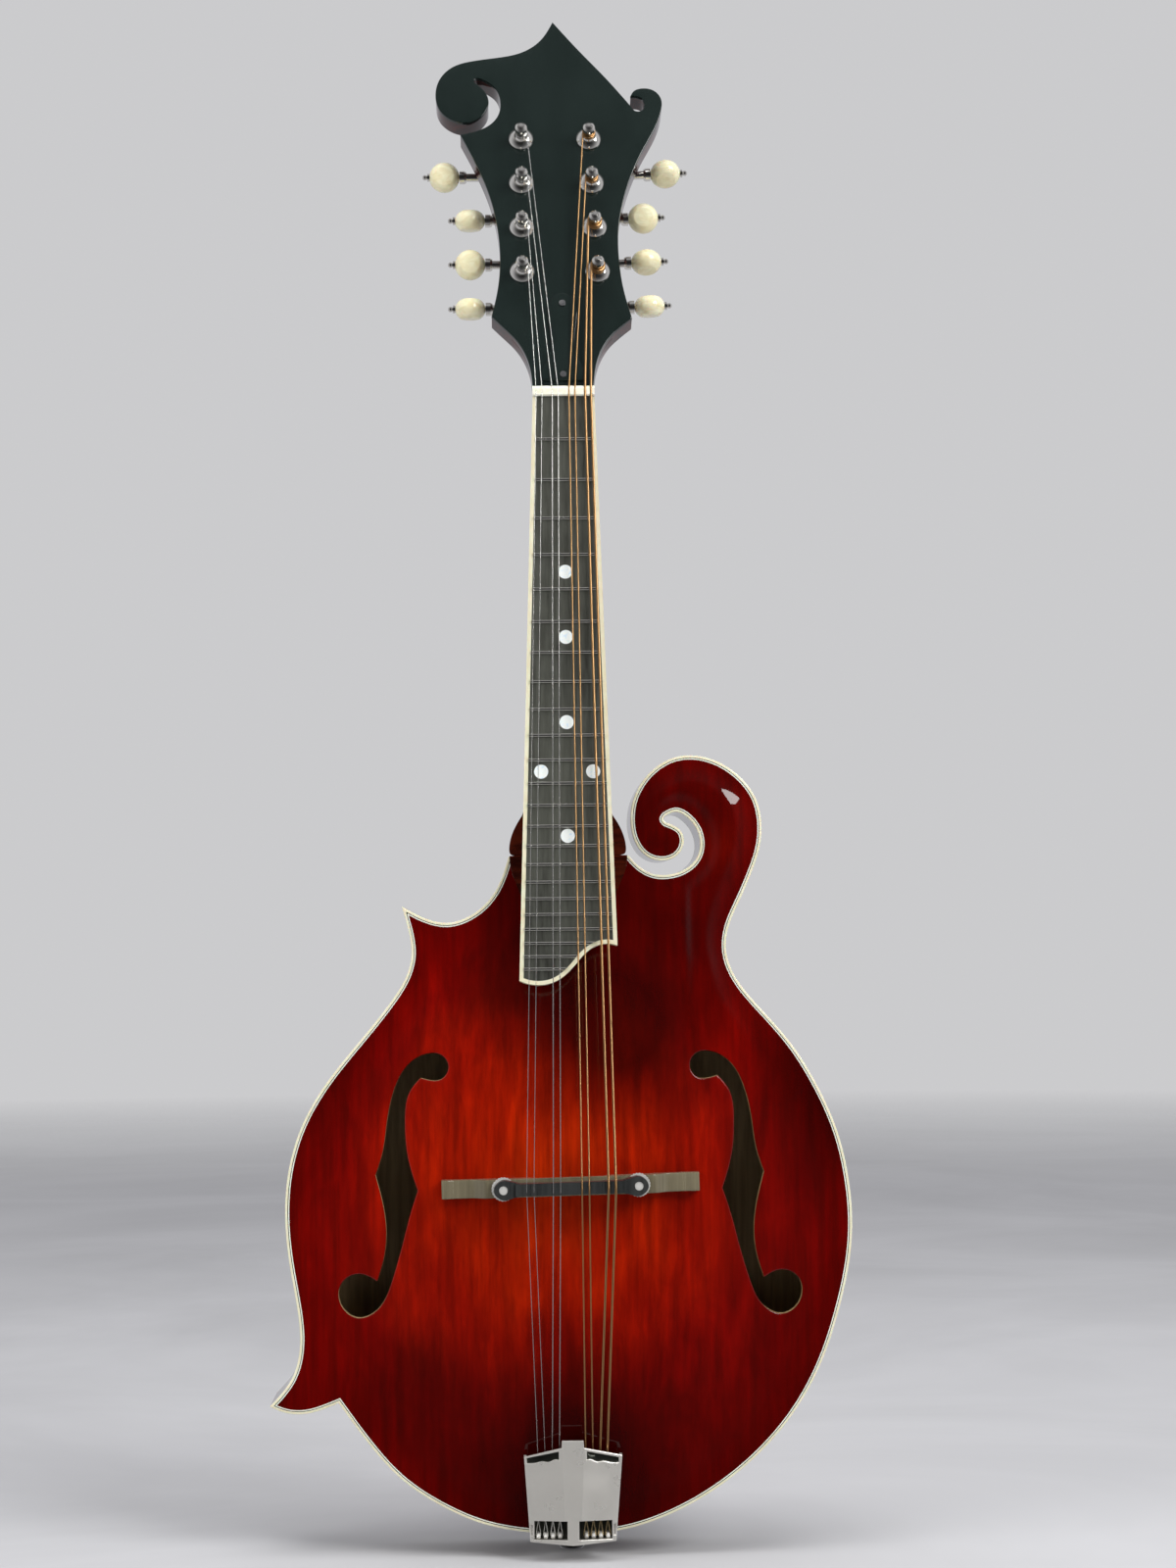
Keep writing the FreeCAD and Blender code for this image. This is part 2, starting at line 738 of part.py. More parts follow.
def make_truss_rod():
    rod_y = size("rod_depth")
    keep("truss_rod", rod("TrussRod", (0, rod_y, 24), (0, 0, -1), f"{cell('rod_diameter')}/2",
                          cell("rod_length"), NECK))
    nut = new_body("TrussRodNut", shifted(NECK, 0, rod_y, 11))
    corner = size("rod_nut_diameter") / 2
    hexagon = [(corner * math.cos(math.radians(a)), corner * math.sin(math.radians(a)))
               for a in range(0, 360, 60)]
    curves = polygon(hexagon) + [circle(0, 0, size("rod_diameter") / 2)]
    sketch = new_sketch(nut, "XY_Plane", curves)
    hold_radius(sketch, 6, f"{cell('rod_diameter')}/2+{cell('running_gap')}")
    pad(nut, sketch, cell("rod_nut_length"))
    keep("truss_rod_nut", nut)


def make_cover():
    blank = head_prism("CoverBlank", outline(COVER_OUTLINE), -size("cover_thickness"),
                       cell("cover_thickness"), size("cover_thickness"))
    keep("truss_rod_cover", cut("TrussRodCover", blank, screw_bores("CoverBores")))
    screws = []
    for number, (x, z) in enumerate(COVER_SCREWS):
        face = -size("cover_thickness")
        shank = rod(f"CoverShank{number}", (x, face, z), (0, 1, 0),
                    cell("cover_screw_radius"), COVER_SCREW_REACH - face, HEAD)
        head = rod(f"CoverHead{number}", (x, face - 0.5, z), (0, 1, 0), 1.5, 0.5, HEAD)
        screws.append(fuse(f"CoverScrew{number}", [shank, head]))
    keep("truss_cover_screws", group("TrussCoverScrews", screws))


# ---------------------------------------------------------------- fingerboard

BOARD_END = [(-22, -264.2), (-15.5, -266), (-9, -265.6), (-3.8, -263.4), (1.4, -258.8),
             (6.3, -253.2), (11.1, -249.4), (16.3, -248), (21.6, -248.9)]
BOARD_STICKOUT = 8.0  # the board's outline starts beyond the nut, so its inset runs past the nut


def board_prism(name, front, depth, depth_expression, inset=None):
    """The fingerboard's outline in the neck's frame, trimmed at the nut."""
    half = board_half_width(-BOARD_STICKOUT)
    curves = outline([
        [(-half, BOARD_STICKOUT), (half, BOARD_STICKOUT)],
        [(half, BOARD_STICKOUT), BOARD_END[-1]],
        BOARD_END,
        [BOARD_END[0], (-half, BOARD_STICKOUT)],
    ])
    placement = shifted(NECK, 0, front + depth, 0, FRONT)
    solid = prism(f"{name}Blank", curves, depth_expression, placement, inset)
    limit = box(f"{name}Limit", (-40, -20, -300), (80, 60, 300), NECK)
    return common(name, [solid, limit])


def fret_distance(number):
    return size("scale_length") * (1 - 2 ** (-number / 12))


def fret_solid(number):
    """A fret's domed crown and its tang, across the whole board."""
    half = size("fret_width") / 2
    rise = size("fret_rise")
    tang = size("fret_tang_width") / 2
    deep = size("fret_tang")
    corners = [Vector(0, 0, -half), Vector(0, 0, -tang), Vector(0, deep, -tang),
               Vector(0, deep, tang), Vector(0, 0, tang), Vector(0, 0, half)]
    edges = [Part.makeLine(a, b) for a, b in zip(corners, corners[1:])]
    edges.append(Part.Arc(corners[-1], Vector(0, -rise, 0), corners[0]).toShape())
    solid = Part.Face(Part.Wire(edges)).extrude(Vector(60, 0, 0))
    solid.translate(Vector(-30, 0, -fret_distance(number)))
    return solid


def make_fingerboard():
    thick = size("board_thickness")
    frets = feature("FretWire", Part.makeCompound([fret_solid(n) for n in range(1, 24)]))
    frets.Placement = NECK
    crown = size("fret_rise") + 1
    area = board_prism("FretArea", -crown, crown + thick,
                       f"{crown}+{cell('board_thickness')}", "board_binding")
    keep("frets", common("Frets", [area, frets]))

    dots = []
    middle = [(number, 0) for number in (5, 7, 10, 15)] + [(12, -11.6), (12, 11.6)]
    for place, (number, x) in enumerate(middle):
        centre = -(fret_distance(number - 1) + fret_distance(number)) / 2
        dots.append(rod(f"Dot{place}", (x, 0, centre), (0, 1, 0),
                        f"{cell('dot_diameter')}/2", cell("dot_depth"), NECK))
    keep("fingerboard_dots", group("FingerboardDots", dots))

    wood = board_prism("BoardWood", 0, thick, cell("board_thickness"), "board_binding")
    fitted = cut("BoardSlotted", wood, nodes["frets"])
    keep("fingerboard", cut("Fingerboard", fitted, fuse("DotHoles", dots)))

    outer = board_prism("BoardOuter", 0, thick, cell("board_thickness"))
    inner = board_prism("BoardInner", 0, thick, cell("board_thickness"), "board_binding")
    keep("fingerboard_binding", cut("FingerboardBinding", outer, inner))


def make_support():
    """The wood between the top and the fingerboard's end, flared at the heel."""
    base = size("heel_joint")
    curves = outline([
        [(-26, base), (26.6, base)],
        [(26.6, base), (25.5, base - 7), (22.8, base - 14), (20.6, base - 20)],
        [(20.6, base - 20), (20.6, 278)],
        [(20.6, 278), (12, 277.5), (5, 270.5), (-2, 264.5), (-10, 262), (-20.6, 262)],
        [(-20.6, 262), (-20.6, base - 20)],
        [(-20.6, base - 20), (-22.6, base - 14), (-25, base - 7), (-26, base)],
    ])
    blank = prism("SupportBlank", curves, cell("cut_reach"),
                  Placement(Vector(0, -HALF_DEPTH, 0), FRONT))
    fitted = common("SupportFitted", [blank, in_front_of_top("SupportFloor")])
    board_side = box("SupportRoof", (-40, -60, -300),
                     (80, f"60+{cell('board_thickness')}", 320), NECK)
    seated = cut("SupportSeated", fitted, board_side)
    raised = f"{cell('plate_edge')}+{cell('seat_gap')}"
    over_binding = cut("SupportOverBinding",
                       body_prism("SupportRimOuter", -HALF_DEPTH, raised),
                       body_prism("SupportRimInner", -HALF_DEPTH, raised, inset="binding_width"))
    keep("fingerboard_support", cut("FingerboardSupport", seated, over_binding))


# ---------------------------------------------------------------- strings

STRING_RADII = [0.14, 0.14, 0.2, 0.2, 0.33, 0.33, 0.52, 0.52]
NUT_X = [-12.4, -9.7, -5.1, -2.4, 2.4, 5.1, 9.7, 12.4]
SADDLE_X = [-19.6, -16.4, -7.9, -4.7, 4.7, 7.9, 16.4, 19.6]
TAIL_X = [-15.4, -12.2, -9.0, -5.8, 5.8, 9.0, 12.2, 15.4]
HOOK_HEIGHT = 15.5
HOOK_DEPTH = -34.8
HOOK_RADIUS = 0.9
LIP = (-35.3, 48.0)  # where a string bends under the tailpiece's lip: y and z
WRAP_DEPTH = -6.4  # along the post, on the headstock's front side
WRAP_TURNS = 3
BEND_RADIUS = 4.0


def string_posts_in_order():
    """The post of each string, from the leftmost string to the rightmost."""
    frames = {(side, number): frame for side, number, frame in post_frames()}
    left = [frames["left", number] for number in (1, 2, 3, 4)]
    right = [frames["right", number] for number in (4, 3, 2, 1)]
    return left + right


def string_path(index):
    """The bends of one string: hook, lip, saddle, nut and the side of its post."""
    radius = STRING_RADII[index]
    hook = Vector(TAIL_X[index], HOOK_DEPTH, HOOK_HEIGHT + HOOK_RADIUS + 2 * radius + 0.2)
    lip = Vector(TAIL_X[index], *LIP)
    slope = math.tan(math.radians(size("bridge_slant")))
    saddle = Vector(SADDLE_X[index], -size("saddle_top") - radius,
                    size("bridge_height") + SADDLE_X[index] * slope)
    nut_top = -size("nut_proud")
    nut = NECK.multVec(Vector(NUT_X[index], nut_top, size("nut_length") / 2))
    post = string_posts_in_order()[index]
    inner = 1 if index < 4 else -1
    tangent = Vector(inner * (size("post_waist") + radius + 0.1), WRAP_DEPTH, -1.5)
    return [hook, lip, saddle, nut, post.multVec(tangent)]


def rounded_path(points):
    """Straight stretches through the points, with every corner rounded by an arc."""
    edges = []
    start = points[0]
    for before, corner, after in zip(points, points[1:], points[2:]):
        inwards = (corner - before).normalize()
        outwards = (after - corner).normalize()
        half_turn = inwards.getAngle(outwards) / 2
        reach = BEND_RADIUS * math.tan(half_turn)
        first = corner - inwards * reach
        last = corner + outwards * reach
        cut_off = BEND_RADIUS * (1 / math.cos(half_turn) - 1)
        middle = corner + (outwards - inwards).normalize() * cut_off
        edges.append(Part.makeLine(start, first))
        edges.append(Part.Arc(first, middle, last).toShape())
        start = last
    edges.append(Part.makeLine(start, points[-1]))
    return Part.Wire(edges)


def string_solid(index, extra=0.0):
    """One string from hook to post, with round bends."""
    points = string_path(index)
    section = Part.Circle(points[0], points[1] - points[0], STRING_RADII[index] + extra)
    return rounded_path(points).makePipeShell([Part.Wire([section.toShape()])], True, False)


def hook_loop(index):
    """The string's loop round its hook."""
    radius = STRING_RADII[index]
    ring = HOOK_RADIUS + radius + 0.08
    centre = Vector(TAIL_X[index], HOOK_DEPTH, HOOK_HEIGHT)
    return Part.makeTorus(ring, radius, centre, Vector(0, 1, 0))


def post_wraps(index):
    """The string's turns round its post."""
    radius = STRING_RADII[index]
    post = string_posts_in_order()[index]
    axis = post.Rotation.multVec(Vector(0, 1, 0))
    turns = []
    for turn in range(1, WRAP_TURNS):
        centre = post.multVec(Vector(0, WRAP_DEPTH + turn * (2 * radius + 0.08), 0))
        turns.append(Part.makeTorus(size("post_waist") + radius + 0.06, radius, centre, axis))
    return turns


def make_strings():
    for label, indices in (("plain_strings", range(4)), ("wound_strings", range(4, 8))):
        solids = []
        for index in indices:
            solids.append(string_solid(index))
            solids.append(hook_loop(index))
            solids += post_wraps(index)
        keep(label, feature(label.title().replace("_", ""), Part.makeCompound(solids)))


def string_slots(name):
    """The strings as cutting tools, a hair fuller, for the nut's and the saddle's slots."""
    return feature(name, Part.makeCompound([string_solid(i, 0.04) for i in range(8)]))


def make_nut():
    half = size("nut_half_width")
    blank = new_body("NutBlank", NECK)
    top = -size("nut_proud") - 0.15
    foot = size("board_thickness")
    length = size("nut_length")
    profile = [(top, 0.6), (top + 0.5, 0), (foot, 0), (foot, length), (top + 1.2, length),
               (top, length - 1.4)]
    sketch = new_sketch(blank, "YZ_Plane", polygon(profile), -half)
    pad(blank, sketch, f"2*{cell('nut_half_width')}")
    keep("nut", cut("Nut", blank, string_slots("NutSlots")))


# ---------------------------------------------------------------- bridge

BRIDGE = Placement(Vector(0, 0, size("bridge_height")),
                   Rotation(Vector(0, 1, 0), -size("bridge_slant")))


def stud_bores(name, radius, start, length):
    bores = [rod(f"{name}{i}", (x, start, 0), (0, 1, 0), radius, length, BRIDGE)
             for i, x in enumerate((-size("post_offset"), size("post_offset")))]
    return fuse(name, bores)


def make_bridge():
    end = size("bridge_half_length")
    top = size("bridge_top")
    width = size("bridge_width")
    profile = [(-end, -30), (-end, -39.6), (-47, -42.2), (-37, -top), (37, -top), (47, -42.2),
               (end, -39.6), (end, -30), (19, -30), (14, -42.6), (-14, -42.6), (-19, -30)]
    placement = shifted(BRIDGE, 0, 0, -width / 2)
    blank = prism("BridgeBaseBlank", polygon(profile), cell("bridge_width"), placement)
    fitted = common("BridgeBaseFitted", [blank, in_front_of_top("BridgeFloor")])
    stud_foot = -top + 3.2
    keep("bridge_base", cut("BridgeBase", fitted,
                            stud_bores("BaseStudBores", cell("stud_radius"), stud_foot - 20, 20)))

    studs = [rod(f"Stud{i}", (x, -size("saddle_top") + 1.5, 0), (0, 1, 0), cell("stud_radius"),
                 size("saddle_top") - 1.5 + stud_foot, BRIDGE)
             for i, x in enumerate((-size("post_offset"), size("post_offset")))]
    keep("bridge_posts", group("BridgePosts", studs))

    for label, x in (("thumbwheel_treble", -size("post_offset")),
                     ("thumbwheel_bass", size("post_offset"))):
        keep(label, make_thumbwheel(label, x))

    make_saddle()


def make_thumbwheel(label, x):
    """A knurled wheel under the saddle, threaded on its post."""
    wheel = new_body(label.title().replace("_", ""),
                     shifted(BRIDGE, x, -size("saddle_bottom"), 0))
    rim = size("wheel_radius")
    sketch = new_sketch(wheel, "XZ_Plane", [circle(0, 0, rim), circle(0, 0, 2.0)])
    hold_radius(sketch, 0, cell("wheel_radius"))
    hold_radius(sketch, 1, f"{cell('stud_radius')}+{cell('running_gap')}")
    pad(wheel, sketch, cell("wheel_thickness"), reverse=True)
    doc.recompute()
    notch_sketch = new_sketch(wheel, "XZ_Plane", [circle(rim + 0.35, 0, 0.6)])
    notch = pocket(wheel, notch_sketch, 5)
    notches = wheel.newObject("PartDesign::PolarPattern", f"{wheel.Name}Knurl")
    notches.Originals = [notch]
    notches.Axis = (notch_sketch, ["N_Axis"])
    notches.Angle = 360
    notches.Occurrences = 24
    wheel.Tip = notches
    return wheel


def make_saddle():
    """The saddle: round bosses over the posts and a slimmer, notched middle."""
    end = size("saddle_half_length")
    boss = 4.1
    crest = size("saddle_top") - size("saddle_bottom")
    post = size("post_offset")
    low = -size("saddle_bottom")
    placement = shifted(BRIDGE, 0, low, 0, FRONT)
    neck_x = 24.5
    slim = 2.7
    middle_curves = polygon([(-neck_x, -slim), (neck_x, -slim), (neck_x, slim), (-neck_x, slim)])
    middle = prism("SaddleMiddle", middle_curves, crest, placement)
    bosses = []
    for i, side in enumerate((-1, 1)):
        curves = [
            [(side * (neck_x - 2), -slim), (side * (neck_x - 2), slim)],
            [(side * (neck_x - 2), slim), (side * (post - 2), boss)],
            [(side * (post - 2), boss), (side * (post + 1.4), boss * 0.94),
             (side * end, 0), (side * (post + 1.4), -boss * 0.94), (side * (post - 2), -boss)],
            [(side * (post - 2), -boss), (side * (neck_x - 2), -slim)],
        ]
        bosses.append(prism(f"SaddleBoss{i}", outline(curves), crest - 1.2, placement))
    blank = fuse("SaddleBlank", [middle] + bosses)
    relief = box("SaddleRelief", (-14, low - 3.2, -10), (28, 6.4, 20), BRIDGE)
    bores = stud_bores("SaddleStudBores", f"{cell('stud_radius')}+{cell('running_gap')}", -80, 60)
    tools = fuse("SaddleTools", [relief, bores])
    keep("bridge_saddle", cut("BridgeSaddle", cut("SaddleDrilled", blank, tools),
                              string_slots("SaddleSlots")))


# ---------------------------------------------------------------- tailpiece and end pin

TAIL_OUTLINE = [(-19, 11.8), (0, 8.3), (19, 11.8), (22, 46.8), (5, 50.6), (4.8, 53.8),
                (-4.8, 53.8), (-5, 50.6), (-21.6, 46.4)]
ROOF = [(-24, -31.5), (-24, -37.2), (-4.8, -41), (4.8, -41), (24, -37.2), (24, -31.5)]
HOLLOW = [(-19.4, -33), (-19.4, -36.5), (-4.4, -39.3), (4.4, -39.3), (19.4, -36.5), (19.4, -33)]
WINDOWS = [(-17.2, -2.6), (2.6, 17.2)]


def make_tailpiece():
    shape = prism("TailOutline", polygon(TAIL_OUTLINE), 30, Placement(Vector(0, -20, 0), FRONT))
    roof = prism("TailRoof", polygon(ROOF), 60, Placement())
    leg = box("TailLeg", (-15, -31.6, size("tail_plate_bottom")), (30, 40.6, 1.6))
    foot = box("TailFoot", (-15, -38, size("tail_plate_bottom")), (30, 6.6, 2.4))
    hood = common("TailHood", [shape, roof])
    hollow = prism("TailHollow", polygon(HOLLOW), 60, Placement(Vector(0, 0, 13.2), Rotation()))
    windows = [box(f"TailWindow{i}", (low, -45, 13.2), (high - low, 12, 7.6))
               for i, (low, high) in enumerate(WINDOWS)]
    shell = cut("TailShell", fuse("TailBlank", [hood, leg, foot]),
                fuse("TailOpenings", [hollow, tail_bores("TailpieceBores", 12)] + windows))
    hooks = [rod(f"Hook{i}", (x, -32.2, HOOK_HEIGHT), (0, -1, 0), HOOK_RADIUS, 4.4)
             for i, x in enumerate(TAIL_X)]
    keep("tailpiece", fuse("Tailpiece", [shell] + hooks))

    screws = []
    base = size("tail_plate_bottom")
    for number, (x, y) in enumerate(TAIL_SCREWS):
        shank = rod(f"TailShank{number}", (x, y, base), (0, 0, 1), cell("screw_radius"), 14)
        head = rod(f"TailHead{number}", (x, y, base - 1.2), (0, 0, 1), cell("screw_head"), 1.2)
        screws.append(fuse(f"TailScrew{number}", [shank, head]))
    keep("tailpiece_screws", group("TailpieceScrews", screws))


def make_end_pin():
    pin = new_body("EndPin")
    seat = size("tail_plate_bottom")
    stem = size("pin_stem")
    barrel = size("pin_radius")
    flange = size("pin_flange")
    profile = [(0, 0), (barrel - 0.6, 0), (barrel, 0.6), (barrel, 5.6), (flange - 0.8, 7),
               (flange, 7.8), (flange, seat), (stem, seat), (stem, 23.5), (0, 23.5)]
    revolve(pin, new_sketch(pin, "XZ_Plane", polygon(profile)))
    keep("end_pin", pin)


# ---------------------------------------------------------------- tuners

LUG_INNER = 5.5
LUG_THICKNESS = 1.2
LUG_HALF = 3.8


def make_tuner_plate(side):
    """One row's base plate, with two bearing lugs for each worm."""
    outward = -1 if side == "left" else 1
    plate = new_body(f"TunerPlate{side.title()}", tuner_frame(side))
    back = size("head_thickness")
    count = 4
    spacing = size("post_spacing")
    edges = sorted((outward * -10.6, outward * 7.6))
    strip = polygon([(edges[0], -18.6), (edges[1], -18.6), (edges[1], 81.6), (edges[0], 81.6)])
    holes = [circle(0, number * spacing, 3.05) for number in range(count)]
    screws = [circle(outward * x, z, size("screw_radius")) for x, z in PLATE_SCREWS]
    sketch = new_sketch(plate, "XZ_Plane", strip + holes + screws, -back - size("plate_sheet"))
    for index in range(4, 4 + count):
        hold_radius(sketch, index, f"{cell('post_radius')}+{cell('running_gap')}")
    pad(plate, sketch, cell("plate_sheet"))
    for start in (LUG_INNER, -LUG_INNER - LUG_THICKNESS):
        curves = []
        for number in range(count):
            curves += lug_curves(number * spacing - size("worm_drop"))
        pad(plate, new_sketch(plate, "YZ_Plane", curves, start), LUG_THICKNESS)
    keep(f"tuner_plate_{side}", plate)


def lug_curves(height):
    """A lug's outline with its bearing hole, centred on a worm's axis."""
    root = size("head_thickness") + size("plate_sheet") / 2
    centre = size("worm_back")
    low = height - LUG_HALF
    high = height + LUG_HALF
    round_end = Part.Arc(Vector(centre, low, 0), Vector(centre + LUG_HALF, height, 0),
                         Vector(centre, high, 0))
    bore = circle(centre, height, size("worm_core") + size("running_gap"))
    return [line((centre, high), (root, high)), line((root, high), (root, low)),
            line((root, low), (centre, low)), round_end, bore]


def make_plate_screws():
    """Round-headed screws that hold the two plates, each on its shank."""
    screws = []
    for shank in plate_screw_shanks("PlateShank"):
        name = shank.Name.replace("Shank", "")
        head = doc.addObject("Part::Cylinder", f"{name}Head")
        head.Radius = 2.0
        head.Height = 1.1
        head.Placement = shank.Placement * Placement(Vector(0, 0, -1.1), Rotation())
        screws.append(fuse(f"{name}Screw", [shank, head]))
    keep("tuner_plate_screws", group("TunerPlateScrews", screws))


def make_bushings():
    """Domed ferrules pressed into the headstock's face round each post."""
    bushings = []
    bore = size("post_radius") + size("running_gap")
    flange = size("bushing_flange")
    sleeve = size("bushing_radius")
    for side, number, frame in post_frames():
        body = new_body(f"Bushing{side}{number}", frame)
        dome = spline([(flange, -0.5), (flange - 0.9, -1.5), (bore + 0.35, -2.4)])
        curves = [line((bore + 0.35, -2.4), (bore, -2.2)),
                  line((bore, -2.2), (bore, size("bushing_sleeve"))),
                  line((bore, size("bushing_sleeve")), (sleeve, size("bushing_sleeve"))),
                  line((sleeve, size("bushing_sleeve")), (sleeve, 0)),
                  line((sleeve, 0), (flange, 0)), line((flange, 0), (flange, -0.5)), dome]
        revolve(body, new_sketch(body, "XY_Plane", curves))
        bushings.append(body)
    keep("post_bushings", group("PostBushings", bushings))


def make_post(side, number, frame):
    """A string post with its worm gear and the screw that holds the gear."""
    tag = f"{side}{number}"
    radius = size("post_radius")
    centre = size("worm_back")
    half = size("gear_width") / 2
    seat = 2.0
    shank = 1.0
    post = new_body(f"Post{tag}", frame)
    waist = size("post_waist")
    profile = [(0, -11.5), (1.7, -11.2), (2.7, -10.3), (3.0, -9.2), (waist, -7.6), (waist, -3.6),
               (radius, -2.6), (radius, centre - half), (seat, centre - half),
               (seat, centre + half), (shank, centre + half), (shank, centre - 1.5),
               (0, centre - 1.5)]
    revolve(post, new_sketch(post, "XY_Plane", polygon(profile)))
    hole_sketch = new_sketch(post, "YZ_Plane", [circle(-6.9, 0, 0.6)], 5)
    pocket(post, hole_sketch, 10)

    gear = new_body(f"Gear{tag}", shifted(frame, 0, centre + half, 0))
    disc = new_sketch(gear, "XZ_Plane", [circle(0, 0, size("gear_root")), circle(0, 0, seat)])
    hold_radius(disc, 0, cell("gear_root"))
    pad(gear, disc, cell("gear_width"))
    root = size("gear_root") - 0.3
    outer = size("gear_outer")
    tooth_sketch = new_sketch(gear, "XZ_Plane", polygon(
        [(-0.72, -root), (-0.34, -outer), (0.34, -outer), (0.72, -root)]))
    tooth = pad(gear, tooth_sketch, cell("gear_width"))
    teeth = gear.newObject("PartDesign::PolarPattern", f"Teeth{tag}")
    teeth.Originals = [tooth]
    teeth.Axis = (tooth_sketch, ["N_Axis"])
    teeth.Angle = 360
    teeth.Occurrences = int(size("gear_teeth"))
    gear.Tip = teeth

    screw_head = rod(f"GearHead{tag}", (0, centre + half, 0), (0, 1, 0), 2.7, 1.3, frame)
    screw_shank = rod(f"GearShank{tag}", (0, centre + half, 0), (0, -1, 0), shank, 3.0, frame)
    screw = fuse(f"GearScrew{tag}", [screw_head, screw_shank])
    keep(f"string_post_{tag}", group(f"StringPost{tag}", [post, gear, screw]))


def worm_thread():
    """One start of thread for the worm, from a trapezium swept along a helix on X."""
    pitch = 2 * math.pi * size("gear_pitch_radius") / size("gear_teeth")
    height = pitch * (size("worm_turns") - 0.6)
    core = size("worm_core") - 0.15
    outer = size("worm_outer")
    helix = Part.makeHelix(pitch, height, core)
    corners = [Vector(core, 0, -0.62), Vector(outer, 0, -0.32), Vector(outer, 0, 0.32),
               Vector(core, 0, 0.62)]
    profile = Part.makePolygon(corners + corners[:1])
    thread = Part.Wire(helix).makePipeShell([profile], True, True)
    thread.translate(Vector(0, 0, -height / 2))
    # Half way along, the thread is on the side away from the gear, so a gap faces the tooth.
    middle_angle = 360 * (height / 2) / pitch
    thread.rotate(Vector(0, 0, 0), Vector(0, 0, 1), -90 - middle_angle)
    thread.rotate(Vector(0, 0, 0), Vector(0, 1, 0), 90)
    thread.rotate(Vector(0, 0, 0), Vector(1, 0, 0), 90)
    return thread


def make_worm(side, number, frame, thread):
    """A worm on its shaft, with the spindle through the button and the button's screw."""
    tag = f"{side}{number}"
    reach = size("long_knob_reach") if number == 4 else size("knob_reach")
    rim = reach + size("knob_radius")
    core = size("worm_core")
    collar_end = reach - size("knob_radius")
    shaft = new_body(f"Shaft{tag}", frame)
    collar = size("shaft_collar")
    profile = [(-7.4, 0), (-7.4, core), (6.8, core), (6.8, collar), (8.4, collar), (8.4, core),
               (collar_end - 3.2, core), (collar_end - 3.2, 2.6), (collar_end - 2.2, 3.1),
               (collar_end, 3.1), (collar_end, size("spindle_radius")),
               (rim, size("spindle_radius")), (rim, 0)]
    revolve(shaft, new_sketch(shaft, "XY_Plane", polygon(profile)), "H_Axis")
    screw_thread = feature(f"Thread{tag}", thread.copy())
    screw_thread.Placement = frame * thread.Placement
    worm = fuse(f"Worm{tag}", [shaft, screw_thread])
    screw = new_body(f"ButtonScrew{tag}", frame)
    tip = rim + 3.2
    profile = [(rim, 0), (rim, 1.9), (rim + 0.9, 1.9), (rim + 0.9, 1.0), (rim + 1.3, 1.0),
               (rim + 1.7, 1.25), (rim + 2.5, 1.25), (tip, 0.6), (tip, 0)]
    revolve(screw, new_sketch(screw, "XY_Plane", polygon(profile)), "H_Axis")
    keep(f"worm_shaft_{tag}", group(f"WormShaft{tag}", [worm, screw]))


def make_knob(side, number, frame, turn):
    """A thick round button, bored across for its spindle."""
    tag = f"{side}{number}"
    reach = size("long_knob_reach") if number == 4 else size("knob_reach")
    knob = new_body(f"Knob{tag}", shifted(frame, reach, 0, 0, Rotation(Vector(1, 0, 0), turn)))
    half = size("knob_thickness") / 2
    rim = size("knob_radius")
    crown = 0.93 * half
    face = 0.62 * rim
    flat = 0.3 * rim
    curves = [
        line((0, -half), (flat, -half)),
        line((flat, -half), (face, -crown)),
        Part.Arc(Vector(face, -crown, 0), Vector(rim, 0, 0), Vector(face, crown, 0)),
        line((face, crown), (flat, half)),
        line((flat, half), (0, half)),
        line((0, half), (0, -half)),
    ]
    revolve(knob, new_sketch(knob, "XY_Plane", curves))
    bore = new_sketch(knob, "YZ_Plane", [circle(0, 0, size("spindle_radius"))], 10)
    hold_radius(bore, 0, cell("spindle_radius"))
    pocket(knob, bore, 20)
    keep(f"knob_{tag}", knob)


# How far each button stands turned about its shaft, from the bottom post up.
KNOB_TURNS = {"left": (73, -17, 73, -17), "right": (107, 87, 17, 67)}


def make_tuners():
    for side in ("left", "right"):
        make_tuner_plate(side)
    make_plate_screws()
    make_bushings()
    thread = worm_thread()
    for side, number, frame in post_frames():
        make_post(side, number, frame)
        outward = Rotation(Vector(0, 0, 1), 180 if side == "left" else 0)
        shaft_frame = shifted(frame, 0, size("worm_back"), -size("worm_drop"), outward)
        make_worm(side, number, shaft_frame, thread)
        make_knob(side, number, shaft_frame, KNOB_TURNS[side][number - 1])


# ---------------------------------------------------------------- build and write

make_plates()
make_bindings()
make_ribs_and_blocks()
make_linings()
make_tone_bars()
make_neck()
make_truss_rod()
make_cover()
make_fingerboard()
make_support()
make_strings()
make_nut()
make_bridge()
make_tailpiece()
make_end_pin()
make_tuners()
doc.recompute()

for item in doc.Objects:
    if "Invalid" in item.State or "Error" in item.State:
        raise RuntimeError(f"{item.Label} failed: {item.State}")
for label, item in nodes.items():
    shape = item.Shape
    if shape.isNull() or not shape.isValid() or not shape.Solids:
        raise RuntimeError(f"{label} has no valid shape")

os.makedirs("parts", exist_ok=True)
for label, item in nodes.items():
    item.Shape.exportStep(f"parts/{label}.step")
print(f"{len(nodes)} sub-parts written")
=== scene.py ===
import json
import math

import bmesh
import bpy
import numpy as np
from mathutils import Matrix, Vector
from mathutils.geometry import delaunay_2d_cdt
from mathutils.kdtree import KDTree


